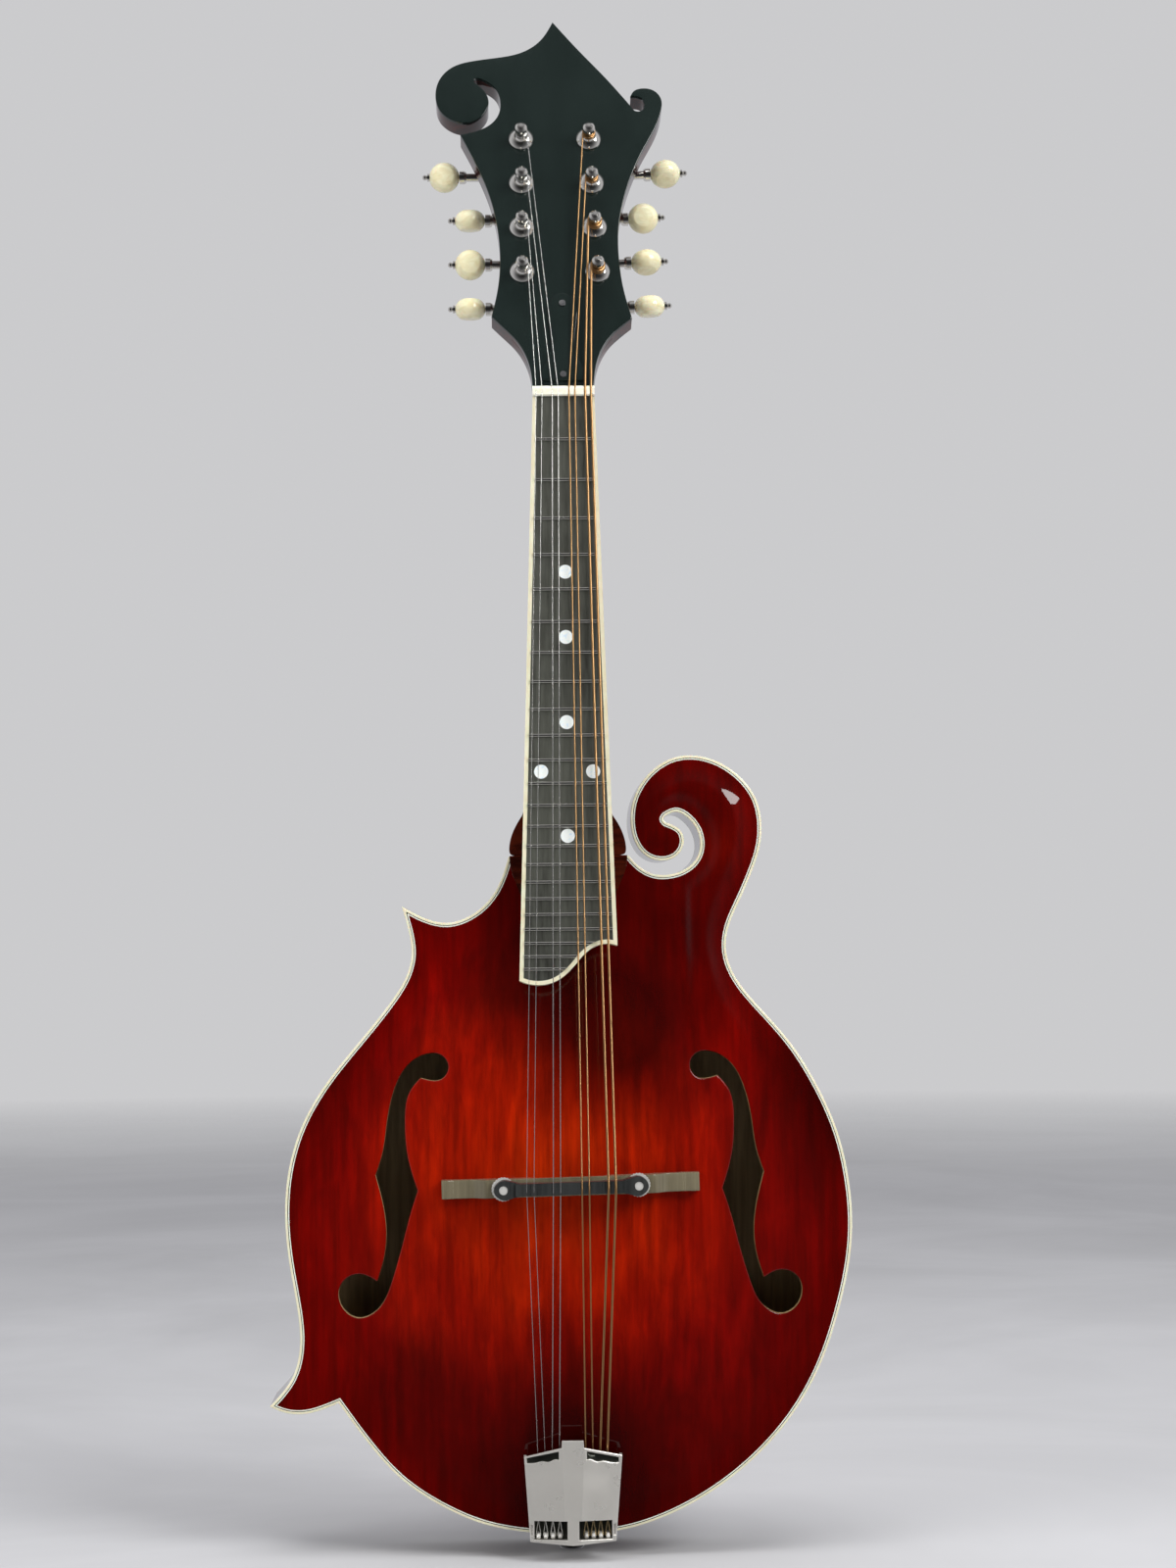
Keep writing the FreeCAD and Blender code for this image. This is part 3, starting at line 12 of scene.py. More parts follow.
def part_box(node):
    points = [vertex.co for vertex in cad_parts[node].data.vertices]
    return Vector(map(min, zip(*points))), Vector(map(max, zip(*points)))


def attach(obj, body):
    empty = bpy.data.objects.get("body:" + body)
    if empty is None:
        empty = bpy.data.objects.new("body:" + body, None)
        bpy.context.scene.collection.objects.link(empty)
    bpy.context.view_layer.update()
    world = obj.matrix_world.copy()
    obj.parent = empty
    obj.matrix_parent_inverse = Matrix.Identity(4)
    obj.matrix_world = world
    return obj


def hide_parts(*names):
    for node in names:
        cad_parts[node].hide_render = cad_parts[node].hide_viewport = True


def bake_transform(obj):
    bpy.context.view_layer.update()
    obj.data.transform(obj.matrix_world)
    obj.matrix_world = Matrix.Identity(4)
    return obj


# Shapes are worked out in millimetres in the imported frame, and turned into metres when a mesh is made.

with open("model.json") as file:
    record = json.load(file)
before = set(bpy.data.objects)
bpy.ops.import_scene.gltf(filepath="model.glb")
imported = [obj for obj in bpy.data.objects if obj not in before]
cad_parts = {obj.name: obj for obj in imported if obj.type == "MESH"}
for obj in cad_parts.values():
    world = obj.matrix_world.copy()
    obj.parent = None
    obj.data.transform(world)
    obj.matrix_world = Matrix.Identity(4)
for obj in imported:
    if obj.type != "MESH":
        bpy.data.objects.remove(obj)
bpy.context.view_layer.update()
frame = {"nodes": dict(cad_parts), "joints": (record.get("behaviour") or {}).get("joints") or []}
nodes = frame["nodes"]
joints = {joint["name"]: joint for joint in frame["joints"]}
MM = 0.001

# ---------------------------------------------------------------- local frames


def node_box(name):
    """Lowest and highest corner of a CAD node, in millimetres."""
    low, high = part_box(name)
    return low / MM, high / MM


def joint_point(name):
    return Vector(joints[name]["pos_m"]) / MM


def joint_axis(name):
    return Vector(joints[name]["axis"]).normalized()


def frame_at(origin, x_axis, y_axis):
    """A matrix from local millimetres to the frame's: x, y, and z = x cross y."""
    x_axis = x_axis.normalized()
    z_axis = x_axis.cross(y_axis).normalized()
    y_axis = z_axis.cross(x_axis)
    turn = Matrix((x_axis, y_axis, z_axis)).transposed().to_4x4()
    return Matrix.Translation(origin) @ turn


RIGHT = Vector((1, 0, 0))
HERE = Matrix.Identity(4)
POST_SPACING = (joint_point("post_left2_turn") - joint_point("post_left1_turn")).length
FIRST_POST = 63.3  # from the nut's lower edge to the bottom left post, along the headstock

head_back = -joint_axis("post_left1_turn")
head_up = RIGHT.cross(head_back)
low_left_post = joint_point("post_left1_turn")
nut_point = low_left_post - head_up * FIRST_POST
nut_point.x = 0
HEAD = frame_at(nut_point, RIGHT, head_back)  # x right, y into the headstock, z up along it
neck_up = joint_axis("rod_nut_turn")
NECK = frame_at(nut_point, RIGHT, neck_up.cross(RIGHT))

wheel_left = joint_point("wheel_treble_turn")
wheel_right = joint_point("wheel_bass_turn")
bridge_middle = (wheel_left + wheel_right) / 2
bridge_middle.y = 0
BRIDGE = frame_at(bridge_middle, wheel_right - wheel_left, Vector((0, 1, 0)))

# ---------------------------------------------------------------- curves and outlines


def smooth_curve(points, spacing):
    """Evenly spaced points on the natural cubic spline through a few points."""
    points = np.array(points, float)
    chords = np.linalg.norm(np.diff(points, axis=0), axis=1)
    at = np.concatenate([[0], np.cumsum(chords)])
    count = len(points)
    system = np.eye(count)
    right = np.zeros_like(points)
    for i in range(1, count - 1):
        before, after = chords[i - 1], chords[i]
        system[i, i - 1:i + 2] = before, 2 * (before + after), after
        right[i] = 6 * ((points[i + 1] - points[i]) / after - (points[i] - points[i - 1]) / before)
    bend = np.linalg.solve(system, right)
    steps = max(2, math.ceil(at[-1] / spacing))
    curve = []
    for u in np.linspace(0, at[-1], steps + 1):
        i = min(int(np.searchsorted(at, u, side="right")) - 1, count - 2)
        i = max(i, 0)
        a = (at[i + 1] - u) / chords[i]
        b = 1 - a
        sag = ((a ** 3 - a) * bend[i] + (b ** 3 - b) * bend[i + 1]) * chords[i] ** 2 / 6
        curve.append(a * points[i] + b * points[i + 1] + sag)
    return np.array(curve)


def outline(stretches, spacing=0.8):
    """A closed loop, anticlockwise: a stretch of two points is straight, a longer one smooth."""
    loop = []
    for stretch in stretches:
        if len(stretch) == 2:
            start, end = np.array(stretch, float)
            steps = max(1, math.ceil(np.linalg.norm(end - start) / (2 * spacing)))
            points = [start + (end - start) * i / steps for i in range(steps)]
        else:
            points = smooth_curve(stretch, spacing)[:-1]
        loop.extend(points)
    return anticlockwise(np.array(loop))


def anticlockwise(loop):
    x, z = loop.T
    area = np.sum(x * np.roll(z, -1) - z * np.roll(x, -1))
    return loop if area > 0 else loop[::-1]


def circle_loop(x, z, radius, steps=48):
    turns = np.linspace(0, 2 * math.pi, steps, endpoint=False)
    return np.stack([x + radius * np.cos(turns), z + radius * np.sin(turns)], axis=1)


def inset(loop, distance):
    """The loop moved inwards, or outwards if negative, with mitred corners and no crossings."""
    if abs(distance) < 1e-9:
        return loop.copy()
    edge = np.roll(loop, -1, axis=0) - loop
    edge /= np.linalg.norm(edge, axis=1)[:, None]
    after = np.stack([-edge[:, 1], edge[:, 0]], axis=1)
    before = np.roll(after, 1, axis=0)
    share = np.maximum(1 + np.sum(before * after, axis=1), 0.35)
    moved = loop + distance * (before + after) / share[:, None]
    lost = nearest(moved, loop) < abs(distance) * 0.985
    if lost.all() or not lost.any():
        return moved
    start = int(np.flatnonzero(~lost)[0])
    order = [(start + i) % len(loop) for i in range(len(loop))]
    run = []
    for i in order + [start]:
        if lost[i]:
            run.append(i)
            continue
        if run:
            meeting = (moved[run[0] - 1] + moved[i]) / 2
            moved[run] = meeting
            run = []
    return moved


def nearest(points, loop):
    """Distance from each point to a closed loop."""
    tree = KDTree(len(loop))
    for i, (x, z) in enumerate(loop):
        tree.insert((x, z, 0), i)
    tree.balance()
    found = np.array([tree.find((x, z, 0))[1] for x, z in points])
    best = np.full(len(points), np.inf)
    for shift in (-1, 0):
        a = loop[(found + shift) % len(loop)]
        b = loop[(found + shift + 1) % len(loop)]
        along = b - a
        length2 = np.maximum(np.sum(along * along, axis=1), 1e-12)
        t = np.clip(np.sum((points - a) * along, axis=1) / length2, 0, 1)
        gap = np.linalg.norm(points - a - along * t[:, None], axis=1)
        best = np.minimum(best, gap)
    return best


def inside(points, loops):
    """Which points lie inside the loops, counted even and odd, so that inner loops are holes."""
    hit = np.zeros(len(points), bool)
    for loop in loops:
        low, high = loop.min(0), loop.max(0)
        near = np.flatnonzero(np.all((points > low) & (points < high), axis=1))
        x1, z1 = loop.T
        x2, z2 = np.roll(loop, -1, axis=0).T
        rise = np.where(z2 == z1, 1e-12, z2 - z1)
        for part in np.array_split(near, max(1, len(near) // 1500)):
            x = points[part, 0][:, None]
            z = points[part, 1][:, None]
            crosses = ((z1 > z) != (z2 > z)) & (x < x1 + (z - z1) * (x2 - x1) / rise)
            hit[part] ^= (np.sum(crosses, axis=1) % 2).astype(bool)
    return hit


def smoothstep(low, high, value):
    t = np.clip((np.asarray(value, float) - low) / (high - low), 0, 1)
    return t * t * (3 - 2 * t)


# ---------------------------------------------------------------- mesh making


class Shell:
    """Patches of a surface, in local millimetres, joined into one closed mesh at the end."""

    def __init__(self):
        self.points = []
        self.faces = []
        self.kinds = []
        self.kind = 0  # which of the piece's materials the next faces take

    def face(self, corners):
        self.faces.append(tuple(corners))
        self.kinds.append(self.kind)

    def add(self, points):
        start = len(self.points)
        self.points.extend(tuple(map(float, p)) for p in points)
        return start

    def strips(self, rows, closed=True, around=False):
        """Quads between rows of equally many points; around joins the last row to the first."""
        starts = [self.add(row) for row in rows]
        count = len(rows[0])
        pairs = list(zip(starts, starts[1:]))
        if around:
            pairs.append((starts[-1], starts[0]))
        for a, b in pairs:
            for i in range(count if closed else count - 1):
                j = (i + 1) % count
                self.face((a + i, a + j, b + j, b + i))

    def fill(self, loops, height, spacing):
        """Triangles inside the first loop and outside the others; height gives each point's y."""
        flat, triangles = triangulate(loops, spacing)
        depth = height(flat[:, 0], flat[:, 1])
        start = self.add(np.stack([flat[:, 0], depth, flat[:, 1]], axis=1))
        for triangle in triangles:
            self.face(start + int(i) for i in triangle)

    def cap(self, row):
        start = self.add(row)
        self.face(range(start, start + len(row)))


def triangulate(loops, spacing):
    """Points and triangles of a flat region, with rows of even triangles in its middle."""
    everything = np.concatenate(loops)
    low, high = everything.min(0), everything.max(0)
    rows = []
    step = spacing * math.sqrt(3) / 2
    for k in range(int((high[1] - low[1]) / step) + 1):
        x = np.arange(low[0] + (k % 2) * spacing / 2, high[0], spacing)
        rows.append(np.stack([x, np.full(len(x), low[1] + k * step)], axis=1))
    grid = np.concatenate(rows)
    grid = grid[inside(grid, loops)]
    for loop in loops:
        grid = grid[nearest(grid, loop) > 0.6 * spacing]
    edges = []
    start = 0
    for loop in loops:
        count = len(loop)
        edges += [(start + i, start + (i + 1) % count) for i in range(count)]
        start += count
    points = [Vector((float(x), float(z))) for x, z in np.concatenate([everything, grid])]
    found = delaunay_2d_cdt(points, edges, [], 0, 1e-5)
    flat = np.array([tuple(v) for v in found[0]])
    triangles = np.array(found[2])
    centres = flat[triangles].mean(1)
    return flat, triangles[inside(centres, loops)]


def sharp_edges(mesh_data, angle):
    """Smooth shading, except over edges sharper than the angle."""
    limit = math.radians(angle)
    for face in mesh_data.faces:
        face.smooth = True
    for edge in mesh_data.edges:
        if len(edge.link_faces) == 2:
            edge.smooth = edge.calc_face_angle(0) < limit


def add_object(name, mesh):
    piece = bpy.data.objects.new(name, mesh)
    bpy.context.scene.collection.objects.link(piece)
    return piece


def make_piece(name, shell, materials, place=HERE, sharp=35, body="root", stands_for=()):
    """A named piece from a shell: closed, its faces outwards, riding on a body if one is named."""
    mesh = bpy.data.meshes.new(name)
    mesh.from_pydata(shell.points, [], shell.faces)
    mesh.polygons.foreach_set("material_index", shell.kinds)
    mesh.transform(Matrix.Scale(MM, 4) @ place)
    data = bmesh.new()
    data.from_mesh(mesh)
    bmesh.ops.remove_doubles(data, verts=data.verts, dist=2e-6)
    bmesh.ops.dissolve_degenerate(data, edges=data.edges, dist=1e-7)
    bmesh.ops.recalc_face_normals(data, faces=data.faces)
    sharp_edges(data, sharp)
    data.to_mesh(mesh)
    data.free()
    for material in materials if isinstance(materials, tuple) else (materials,):
        mesh.materials.append(material)
    return dress(add_object(name, mesh), body, stands_for)


def dress(piece, body, stands_for):
    """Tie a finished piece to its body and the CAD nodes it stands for."""
    even = piece.modifiers.new("even_flats", "WEIGHTED_NORMAL")
    even.weight = 100
    even.keep_sharp = True
    if body:
        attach(piece, body)
    if stands_for:
        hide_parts(*stands_for)
    return piece


def refined(node, width, material, body="root", angle=30, segments=2):
    """A copy of a CAD node's mesh with its sharp edges rounded by a small width."""
    data = bmesh.new()
    data.from_mesh(nodes[node].data)
    bmesh.ops.remove_doubles(data, verts=data.verts, dist=1e-6)
    bmesh.ops.dissolve_limit(data, verts=data.verts, edges=data.edges,
                             angle_limit=math.radians(0.3))
    limit = math.radians(angle)
    edges = [e for e in data.edges if len(e.link_faces) == 2 and e.calc_face_angle(0) > limit]
    bmesh.ops.bevel(data, geom=edges, offset=width * MM, segments=segments, profile=0.6,
                    affect="EDGES", clamp_overlap=True)
    bmesh.ops.recalc_face_normals(data, faces=data.faces)
    sharp_edges(data, 40)
    mesh = bpy.data.meshes.new(f"{node}_finished")
    data.to_mesh(mesh)
    data.free()
    mesh.materials.clear()
    mesh.materials.append(material)
    return dress(add_object(mesh.name, mesh), body, (node,))


def lifted(loop, depth):
    """A flat loop as points with their y: a number, or a function of x and z."""
    y = depth(loop[:, 0], loop[:, 1]) if callable(depth) else np.full(len(loop), float(depth))
    return np.stack([loop[:, 0], y, loop[:, 1]], axis=1)


def rows_round(loop, stations):
    """Rows of points round a loop; each station is (inset, depth)."""
    return [lifted(inset(loop, distance), depth) for distance, depth in stations]


def deeper(depth, by):
    """A depth, a number or a function of x and z, moved along y."""
    if callable(depth):
        return lambda x, z: depth(x, z) + by
    return lambda x, z: np.full(len(x), float(depth + by))


def slab(loops, front, back, edge=0.4, back_edge=None, spacing=6.0):
    """A plate with rounded edges: its first loop is the outline, the others are holes."""
    shell = Shell()
    back_edge = edge if back_edge is None else back_edge
    for i, loop in enumerate(loops):
        side = 1 if i == 0 else -1
        stations = [(edge, deeper(front, 0)), (0.29 * edge, deeper(front, 0.29 * edge)),
                    (0, deeper(front, edge)), (0, deeper(back, -back_edge)),
                    (0.29 * back_edge, deeper(back, -0.29 * back_edge)),
                    (back_edge, deeper(back, 0))]
        shell.strips(rows_round(loop, [(side * d, y) for d, y in stations]))
    for depth, radius in ((front, edge), (back, back_edge)):
        flat = [inset(loop, radius if i == 0 else -radius) for i, loop in enumerate(loops)]
        shell.fill(flat, deeper(depth, 0), spacing)
    return shell


def folded(shell, creases, depth):
    """A flat slab cut along straight creases, then pushed to the depth at each x and z."""
    data = bmesh.new()
    corners = [data.verts.new(point) for point in shell.points]
    for face, kind in zip(shell.faces, shell.kinds):
        data.faces.new([corners[i] for i in face]).material_index = kind
    bmesh.ops.remove_doubles(data, verts=data.verts, dist=1e-4)
    for (x0, z0), (x1, z1) in creases:
        bmesh.ops.bisect_plane(data, geom=data.verts[:] + data.edges[:] + data.faces[:],
                               dist=1e-4, plane_co=(x0, 0, z0), plane_no=(z1 - z0, 0, x0 - x1))
    data.verts.index_update()
    flat = np.array([tuple(v.co) for v in data.verts])
    flat[:, 1] += depth(flat[:, 0], flat[:, 2])
    result = Shell()
    result.add(flat)
    for face in data.faces:
        result.kind = face.material_index
        result.face(v.index for v in face.verts)
    data.free()
    return result


def level(depth):
    """The same depth everywhere."""
    return lambda x, z: np.full(len(x), float(depth))


def lathe(profile, axis="y", segments=48):
    """A turned solid: profile is (distance along the axis, radius) from one end to the other."""
    shell = Shell()
    turns = np.linspace(0, 2 * math.pi, segments, endpoint=False)
    rows = []
    for along, radius in profile:
        c, s = max(radius, 0) * np.cos(turns), max(radius, 0) * np.sin(turns)
        level = np.full(segments, float(along))
        columns = {"x": (level, c, s), "y": (s, level, c), "z": (c, s, level)}[axis]
        rows.append(np.stack(columns, axis=1))
    shell.strips(rows)
    for row, (along, radius) in ((rows[0], profile[0]), (rows[-1], profile[-1])):
        if radius > 1e-6:
            shell.cap(row)
    return shell


def tube_along(points, radius, segments=12):
    """A round wire through points that are already close together."""
    points = [Vector(p) for p in points]
    shell = Shell()
    rows = []
    across = None
    for i, point in enumerate(points):
        ahead = points[min(i + 1, len(points) - 1)] - points[max(i - 1, 0)]
        ahead.normalize()
        if across is None:
            across = ahead.orthogonal().normalized()
        across = (across - ahead * across.dot(ahead)).normalized()
        other = ahead.cross(across)
        ring = []
        for k in range(segments):
            turn = 2 * math.pi * k / segments
            ring.append(point + (across * math.cos(turn) + other * math.sin(turn)) * radius)
        rows.append(ring)
    shell.strips(rows)
    shell.cap(rows[0])
    shell.cap(rows[-1])
    return shell


def merged(shells):
    """Several shells as one."""
    whole = Shell()
    for shell in shells:
        start = whole.add(shell.points)
        whole.faces.extend(tuple(start + i for i in face) for face in shell.faces)
        whole.kinds.extend(shell.kinds)
    return whole


def placed(shell, matrix, kind=None):
    """The shell moved by a matrix, with another of the piece's materials if asked."""
    moved = Shell()
    moved.points = [tuple(matrix @ Vector(p)) for p in shell.points]
    moved.faces = shell.faces
    moved.kinds = shell.kinds if kind is None else [kind] * len(shell.faces)
    return moved


def ring_lathe(profile, segments=48):
    """A turned ring about y: profile is a closed run of (distance along y, radius)."""
    turns = np.linspace(0, 2 * math.pi, segments, endpoint=False)
    shell = Shell()
    shell.strips([np.stack([r * np.sin(turns), np.full(segments, float(y)), r * np.cos(turns)],
                           axis=1) for y, r in profile], around=True)
    return shell


# ---------------------------------------------------------------- materials


class Nodes:
    """A short way to write a material's node tree."""

    def __init__(self, name):
        self.material = bpy.data.materials.new(name)
        self.material.use_nodes = True
        self.tree = self.material.node_tree
        self.shader = self.tree.nodes["Principled BSDF"]
        self.coordinates = self.new("ShaderNodeTexCoord").outputs["Object"]

    def new(self, kind, **settings):
        node = self.tree.nodes.new(kind)
        for key, value in settings.items():
            setattr(node, key, value)
        return node

    def join(self, source, target):
        self.tree.links.new(source, target)

    def put(self, value, target):
        """Feed an input with a socket or with a plain value."""
        if isinstance(value, bpy.types.NodeSocket):
            self.join(value, target)
        else:
            target.default_value = value

    def mapping(self, scale, source=None, turn=(0, 0, 0)):
        node = self.new("ShaderNodeMapping")
        node.inputs["Scale"].default_value = scale
        node.inputs["Rotation"].default_value = turn
        self.join(source or self.coordinates, node.inputs["Vector"])
        return node.outputs["Vector"]

    def noise(self, vector, scale, detail=4.0, roughness=0.55, distortion=0.0):
        node = self.new("ShaderNodeTexNoise")
        for key, value in (("Scale", scale), ("Detail", detail), ("Roughness", roughness),
                           ("Distortion", distortion)):
            node.inputs[key].default_value = value
        self.join(vector, node.inputs["Vector"])
        return node.outputs["Fac"]

    def maths(self, operation, a, b=0.0, c=0.0, clamp=False):
        node = self.new("ShaderNodeMath", operation=operation, use_clamp=clamp)
        for value, target in zip((a, b, c), node.inputs):
            self.put(value, target)
        return node.outputs["Value"]

    def ramp(self, source, stops, mode="EASE"):
        node = self.new("ShaderNodeValToRGB")
        band = node.color_ramp
        band.interpolation = mode
        while len(band.elements) < len(stops):
            band.elements.new(0.5)
        for element, (position, colour) in zip(band.elements, stops):
            element.position = position
            element.color = (*colour, 1)
        self.join(source, node.inputs["Fac"])
        return node.outputs["Color"]

    def mix(self, share, a, b, blend="MIX"):
        node = self.new("ShaderNodeMix", data_type="RGBA", blend_type=blend)
        self.put(share, node.inputs["Factor"])
        for value, target in ((a, node.inputs["A"]), (b, node.inputs["B"])):
            self.put(value if isinstance(value, bpy.types.NodeSocket) else (*value, 1), target)
        return node.outputs["Result"]

    def spread(self, source, low, high, out_low, out_high):
        node = self.new("ShaderNodeMapRange")
        node.inputs["From Min"].default_value = low
        node.inputs["From Max"].default_value = high
        node.inputs["To Min"].default_value = out_low
        node.inputs["To Max"].default_value = out_high
        self.join(source, node.inputs["Value"])
        return node.outputs["Result"]

    def bump(self, height, strength, distance):
        node = self.new("ShaderNodeBump")
        node.inputs["Strength"].default_value = strength
        node.inputs["Distance"].default_value = distance
        self.join(height, node.inputs["Height"])
        self.join(node.outputs["Normal"], self.shader.inputs["Normal"])

    def finish(self, colour, roughness, metallic=0.0, coat=0.0, coat_roughness=0.03, extra=()):
        self.put(colour if isinstance(colour, bpy.types.NodeSocket) else (*colour, 1),
                 self.shader.inputs["Base Color"])
        self.put(roughness, self.shader.inputs["Roughness"])
        self.shader.inputs["Metallic"].default_value = metallic
        self.shader.inputs["Coat Weight"].default_value = coat
        self.shader.inputs["Coat Roughness"].default_value = coat_roughness
        for key, value in extra:
            self.shader.inputs[key].default_value = value
        return self.material


UNDER_LACQUER = (("Specular IOR Level", 0.0),)  # the coat gives nearly all the reflection


def sunburst(name, grain_scale, flame, centre, reach, colours, painted_shade_spots=()):
    """Tinted lacquer that glows in the middle and darkens to the edges, over figured wood, with spots of
    painted shade laid over it where they are given.
    """
    n = Nodes(name)
    parts = n.new("ShaderNodeSeparateXYZ")
    n.join(n.coordinates, parts.inputs["Vector"])
    wander = n.noise(n.mapping((9, 9, 5)), 1.0, 3.0, 0.6)
    across = n.maths("DIVIDE", n.maths("SUBTRACT", parts.outputs["X"], centre[0] * MM),
                     reach[0] * MM)
    up = n.maths("DIVIDE", n.maths("SUBTRACT", parts.outputs["Z"], centre[1] * MM), reach[1] * MM)
    squares = n.maths("ADD", n.maths("MULTIPLY", across, across), n.maths("MULTIPLY", up, up))
    radius = n.maths("SQRT", squares)
    curl = n.new("ShaderNodeVectorMath", operation="DISTANCE")
    n.join(n.coordinates, curl.inputs[0])
    curl.inputs[1].default_value = SCROLL_GLOW
    radius = n.maths("MINIMUM", radius, n.maths("MULTIPLY_ADD", curl.outputs["Value"], 14.0, 0.62))
    radius = n.maths("ADD", radius, n.spread(wander, 0.3, 0.7, -0.16, 0.16))
    burst = n.ramp(n.maths("MULTIPLY", radius, 0.5, clamp=True), colours)
    # Painted shade: each spot darkens the burst towards a dim purple-brown where shade falls on the top.
    for x, z, wide, share in painted_shade_spots:
        gap = n.new("ShaderNodeVectorMath", operation="DISTANCE")
        n.join(n.coordinates, gap.inputs[0])
        gap.inputs[1].default_value = (x * MM, -0.035, z * MM)
        blurred = n.maths("ADD", gap.outputs["Value"], n.spread(wander, 0.3, 0.7, -0.009, 0.009))
        burst = n.mix(n.spread(blurred, 0.3 * wide * MM, wide * MM, share, 0.0), burst,
                      n.mix(1.0, burst, (0.12, 0.08, 0.2), "MULTIPLY"))
    streaks = n.noise(n.mapping((260, 260, grain_scale)), 1.0, 5.0, 0.62)
    blotches = n.noise(n.mapping((60, 60, 22)), 1.0, 4.0, 0.6, 0.6)
    lighter = n.mix(n.spread(blotches, 0.42, 0.72, 0.0, 0.55), burst,
                    n.mix(1.0, burst, (1.9, 2.6, 1.6), "MULTIPLY"))
    darker = n.mix(n.spread(streaks, 0.35, 0.7, 0.5, 0.0), lighter, (0.02, 0.001, 0.0004))
    colour = darker
    if flame:
        bars = n.noise(n.mapping((14, 14, 150)), 1.0, 2.0, 0.5, 0.7)
        colour = n.mix(n.spread(bars, 0.4, 0.62, 0.0, 0.6), darker,
                       n.mix(1.0, darker, (0.28, 0.2, 0.2), "MULTIPLY"))
    n.bump(streaks, 0.02, 0.0004)
    return n.finish(colour, 0.3, coat=1.0, coat_roughness=0.025, extra=UNDER_LACQUER)


def lacquered(name, colour, second, scale, coat=1.0, roughness=0.3, coat_roughness=0.03):
    """Gloss lacquer over a stain that varies a little along the wood."""
    n = Nodes(name)
    cloud = n.noise(n.mapping(scale), 1.0, 5.0, 0.6, 0.4)
    tint = n.mix(n.spread(cloud, 0.35, 0.68, 0.0, 1.0), colour, second)
    dust = n.noise(n.coordinates, 900.0, 2.0)
    n.bump(dust, 0.01, 0.0002)
    return n.finish(tint, n.spread(dust, 0.3, 0.7, roughness - 0.03, roughness + 0.05),
                    coat=coat, coat_roughness=coat_roughness, extra=UNDER_LACQUER)


def figured_maple(name, light, dark):
    """Tinted maple with flame bars across it, under gloss lacquer."""
    n = Nodes(name)
    bars = n.noise(n.mapping((30, 30, 170)), 1.0, 2.0, 0.5, 1.2)
    grain = n.noise(n.mapping((500, 500, 18)), 1.0, 4.0, 0.6)
    colour = n.mix(n.spread(bars, 0.38, 0.64, 0.0, 1.0), light, dark)
    colour = n.mix(n.spread(grain, 0.35, 0.7, 0.35, 0.0), colour, dark)
    n.bump(grain, 0.02, 0.0003)
    return n.finish(colour, 0.3, coat=1.0, coat_roughness=0.03, extra=UNDER_LACQUER)


def bare_wood(name, light, dark):
    n = Nodes(name)
    grain = n.noise(n.mapping((350, 350, 14)), 1.0, 5.0, 0.6, 0.3)
    colour = n.ramp(n.spread(grain, 0.3, 0.72, 0.0, 1.0), [(0.0, dark), (1.0, light)])
    n.bump(grain, 0.15, 0.0005)
    return n.finish(colour, 0.75)


def ebony_like(name, colour, pore, gloss):
    """Close-grained dark wood, oiled, with fine pores along it."""
    n = Nodes(name)
    grain = n.noise(n.mapping((700, 700, 26)), 1.0, 6.0, 0.65)
    cloud = n.noise(n.mapping((60, 60, 12)), 1.0, 3.0)
    tint = n.mix(n.spread(grain, 0.4, 0.66, 0.0, 1.0), colour, pore)
    tint = n.mix(n.spread(cloud, 0.35, 0.7, 0.0, 0.5), tint, tuple(c * 1.7 for c in colour))
    n.bump(grain, 0.12, 0.0003)
    return n.finish(tint, n.spread(grain, 0.3, 0.7, gloss + 0.08, gloss - 0.05))


def cream_plastic(name, colour, second, scale=40.0, roughness=0.22, coat=0.4):
    """Celluloid with soft clouds in it."""
    n = Nodes(name)
    cloud = n.noise(n.mapping((1, 1, 1.7)), scale, 4.0, 0.6, 1.4)
    tint = n.mix(n.spread(cloud, 0.36, 0.66, 0.0, 1.0), colour, second)
    fine = n.noise(n.coordinates, 1500.0, 2.0)
    n.bump(fine, 0.01, 0.0001)
    return n.finish(tint, roughness, coat=coat, coat_roughness=0.08,
                    extra=(("Subsurface Weight", 0.12), ("Subsurface Scale", 0.002)))


def plated(name, colour, roughness, scratches=0.05, metallic=1.0):
    """Plated metal with faint wipe marks."""
    n = Nodes(name)
    wipes = n.noise(n.mapping((1800, 1800, 240)), 1.0, 3.0, 0.6)
    haze = n.noise(n.coordinates, 90.0, 3.0)
    rough = n.maths("ADD", n.spread(haze, 0.3, 0.7, roughness * 0.7, roughness * 1.3),
                    n.spread(wipes, 0.45, 0.75, 0.0, scratches))
    tint = n.mix(n.spread(haze, 0.35, 0.7, 0.0, 0.4), colour, tuple(c * 0.86 for c in colour))
    n.bump(wipes, 0.004, 0.00005)
    return n.finish(tint, rough, metallic=metallic)


def wound(name, colour):
    """Wire with fine turns of wrap round it."""
    n = Nodes(name)
    turns = n.new("ShaderNodeTexWave", wave_type="BANDS", bands_direction="Z")
    turns.inputs["Scale"].default_value = 900.0
    n.join(n.coordinates, turns.inputs["Vector"])
    tint = n.mix(turns.outputs["Fac"], tuple(c * 0.6 for c in colour), colour)
    n.bump(turns.outputs["Fac"], 0.3, 0.0001)
    return n.finish(tint, 0.28, metallic=1.0)


def pearl(name):
    """Shell inlay: pale, with slow blue and pink shifts."""
    n = Nodes(name)
    swirl = n.noise(n.mapping((1, 1, 1)), 260.0, 3.0, 0.6, 3.0)
    tint = n.ramp(swirl, [(0.3, (0.62, 0.80, 0.92)), (0.5, (0.92, 0.94, 0.90)),
                          (0.7, (0.78, 0.90, 0.86))])
    return n.finish(tint, 0.2, coat=0.6, coat_roughness=0.05)


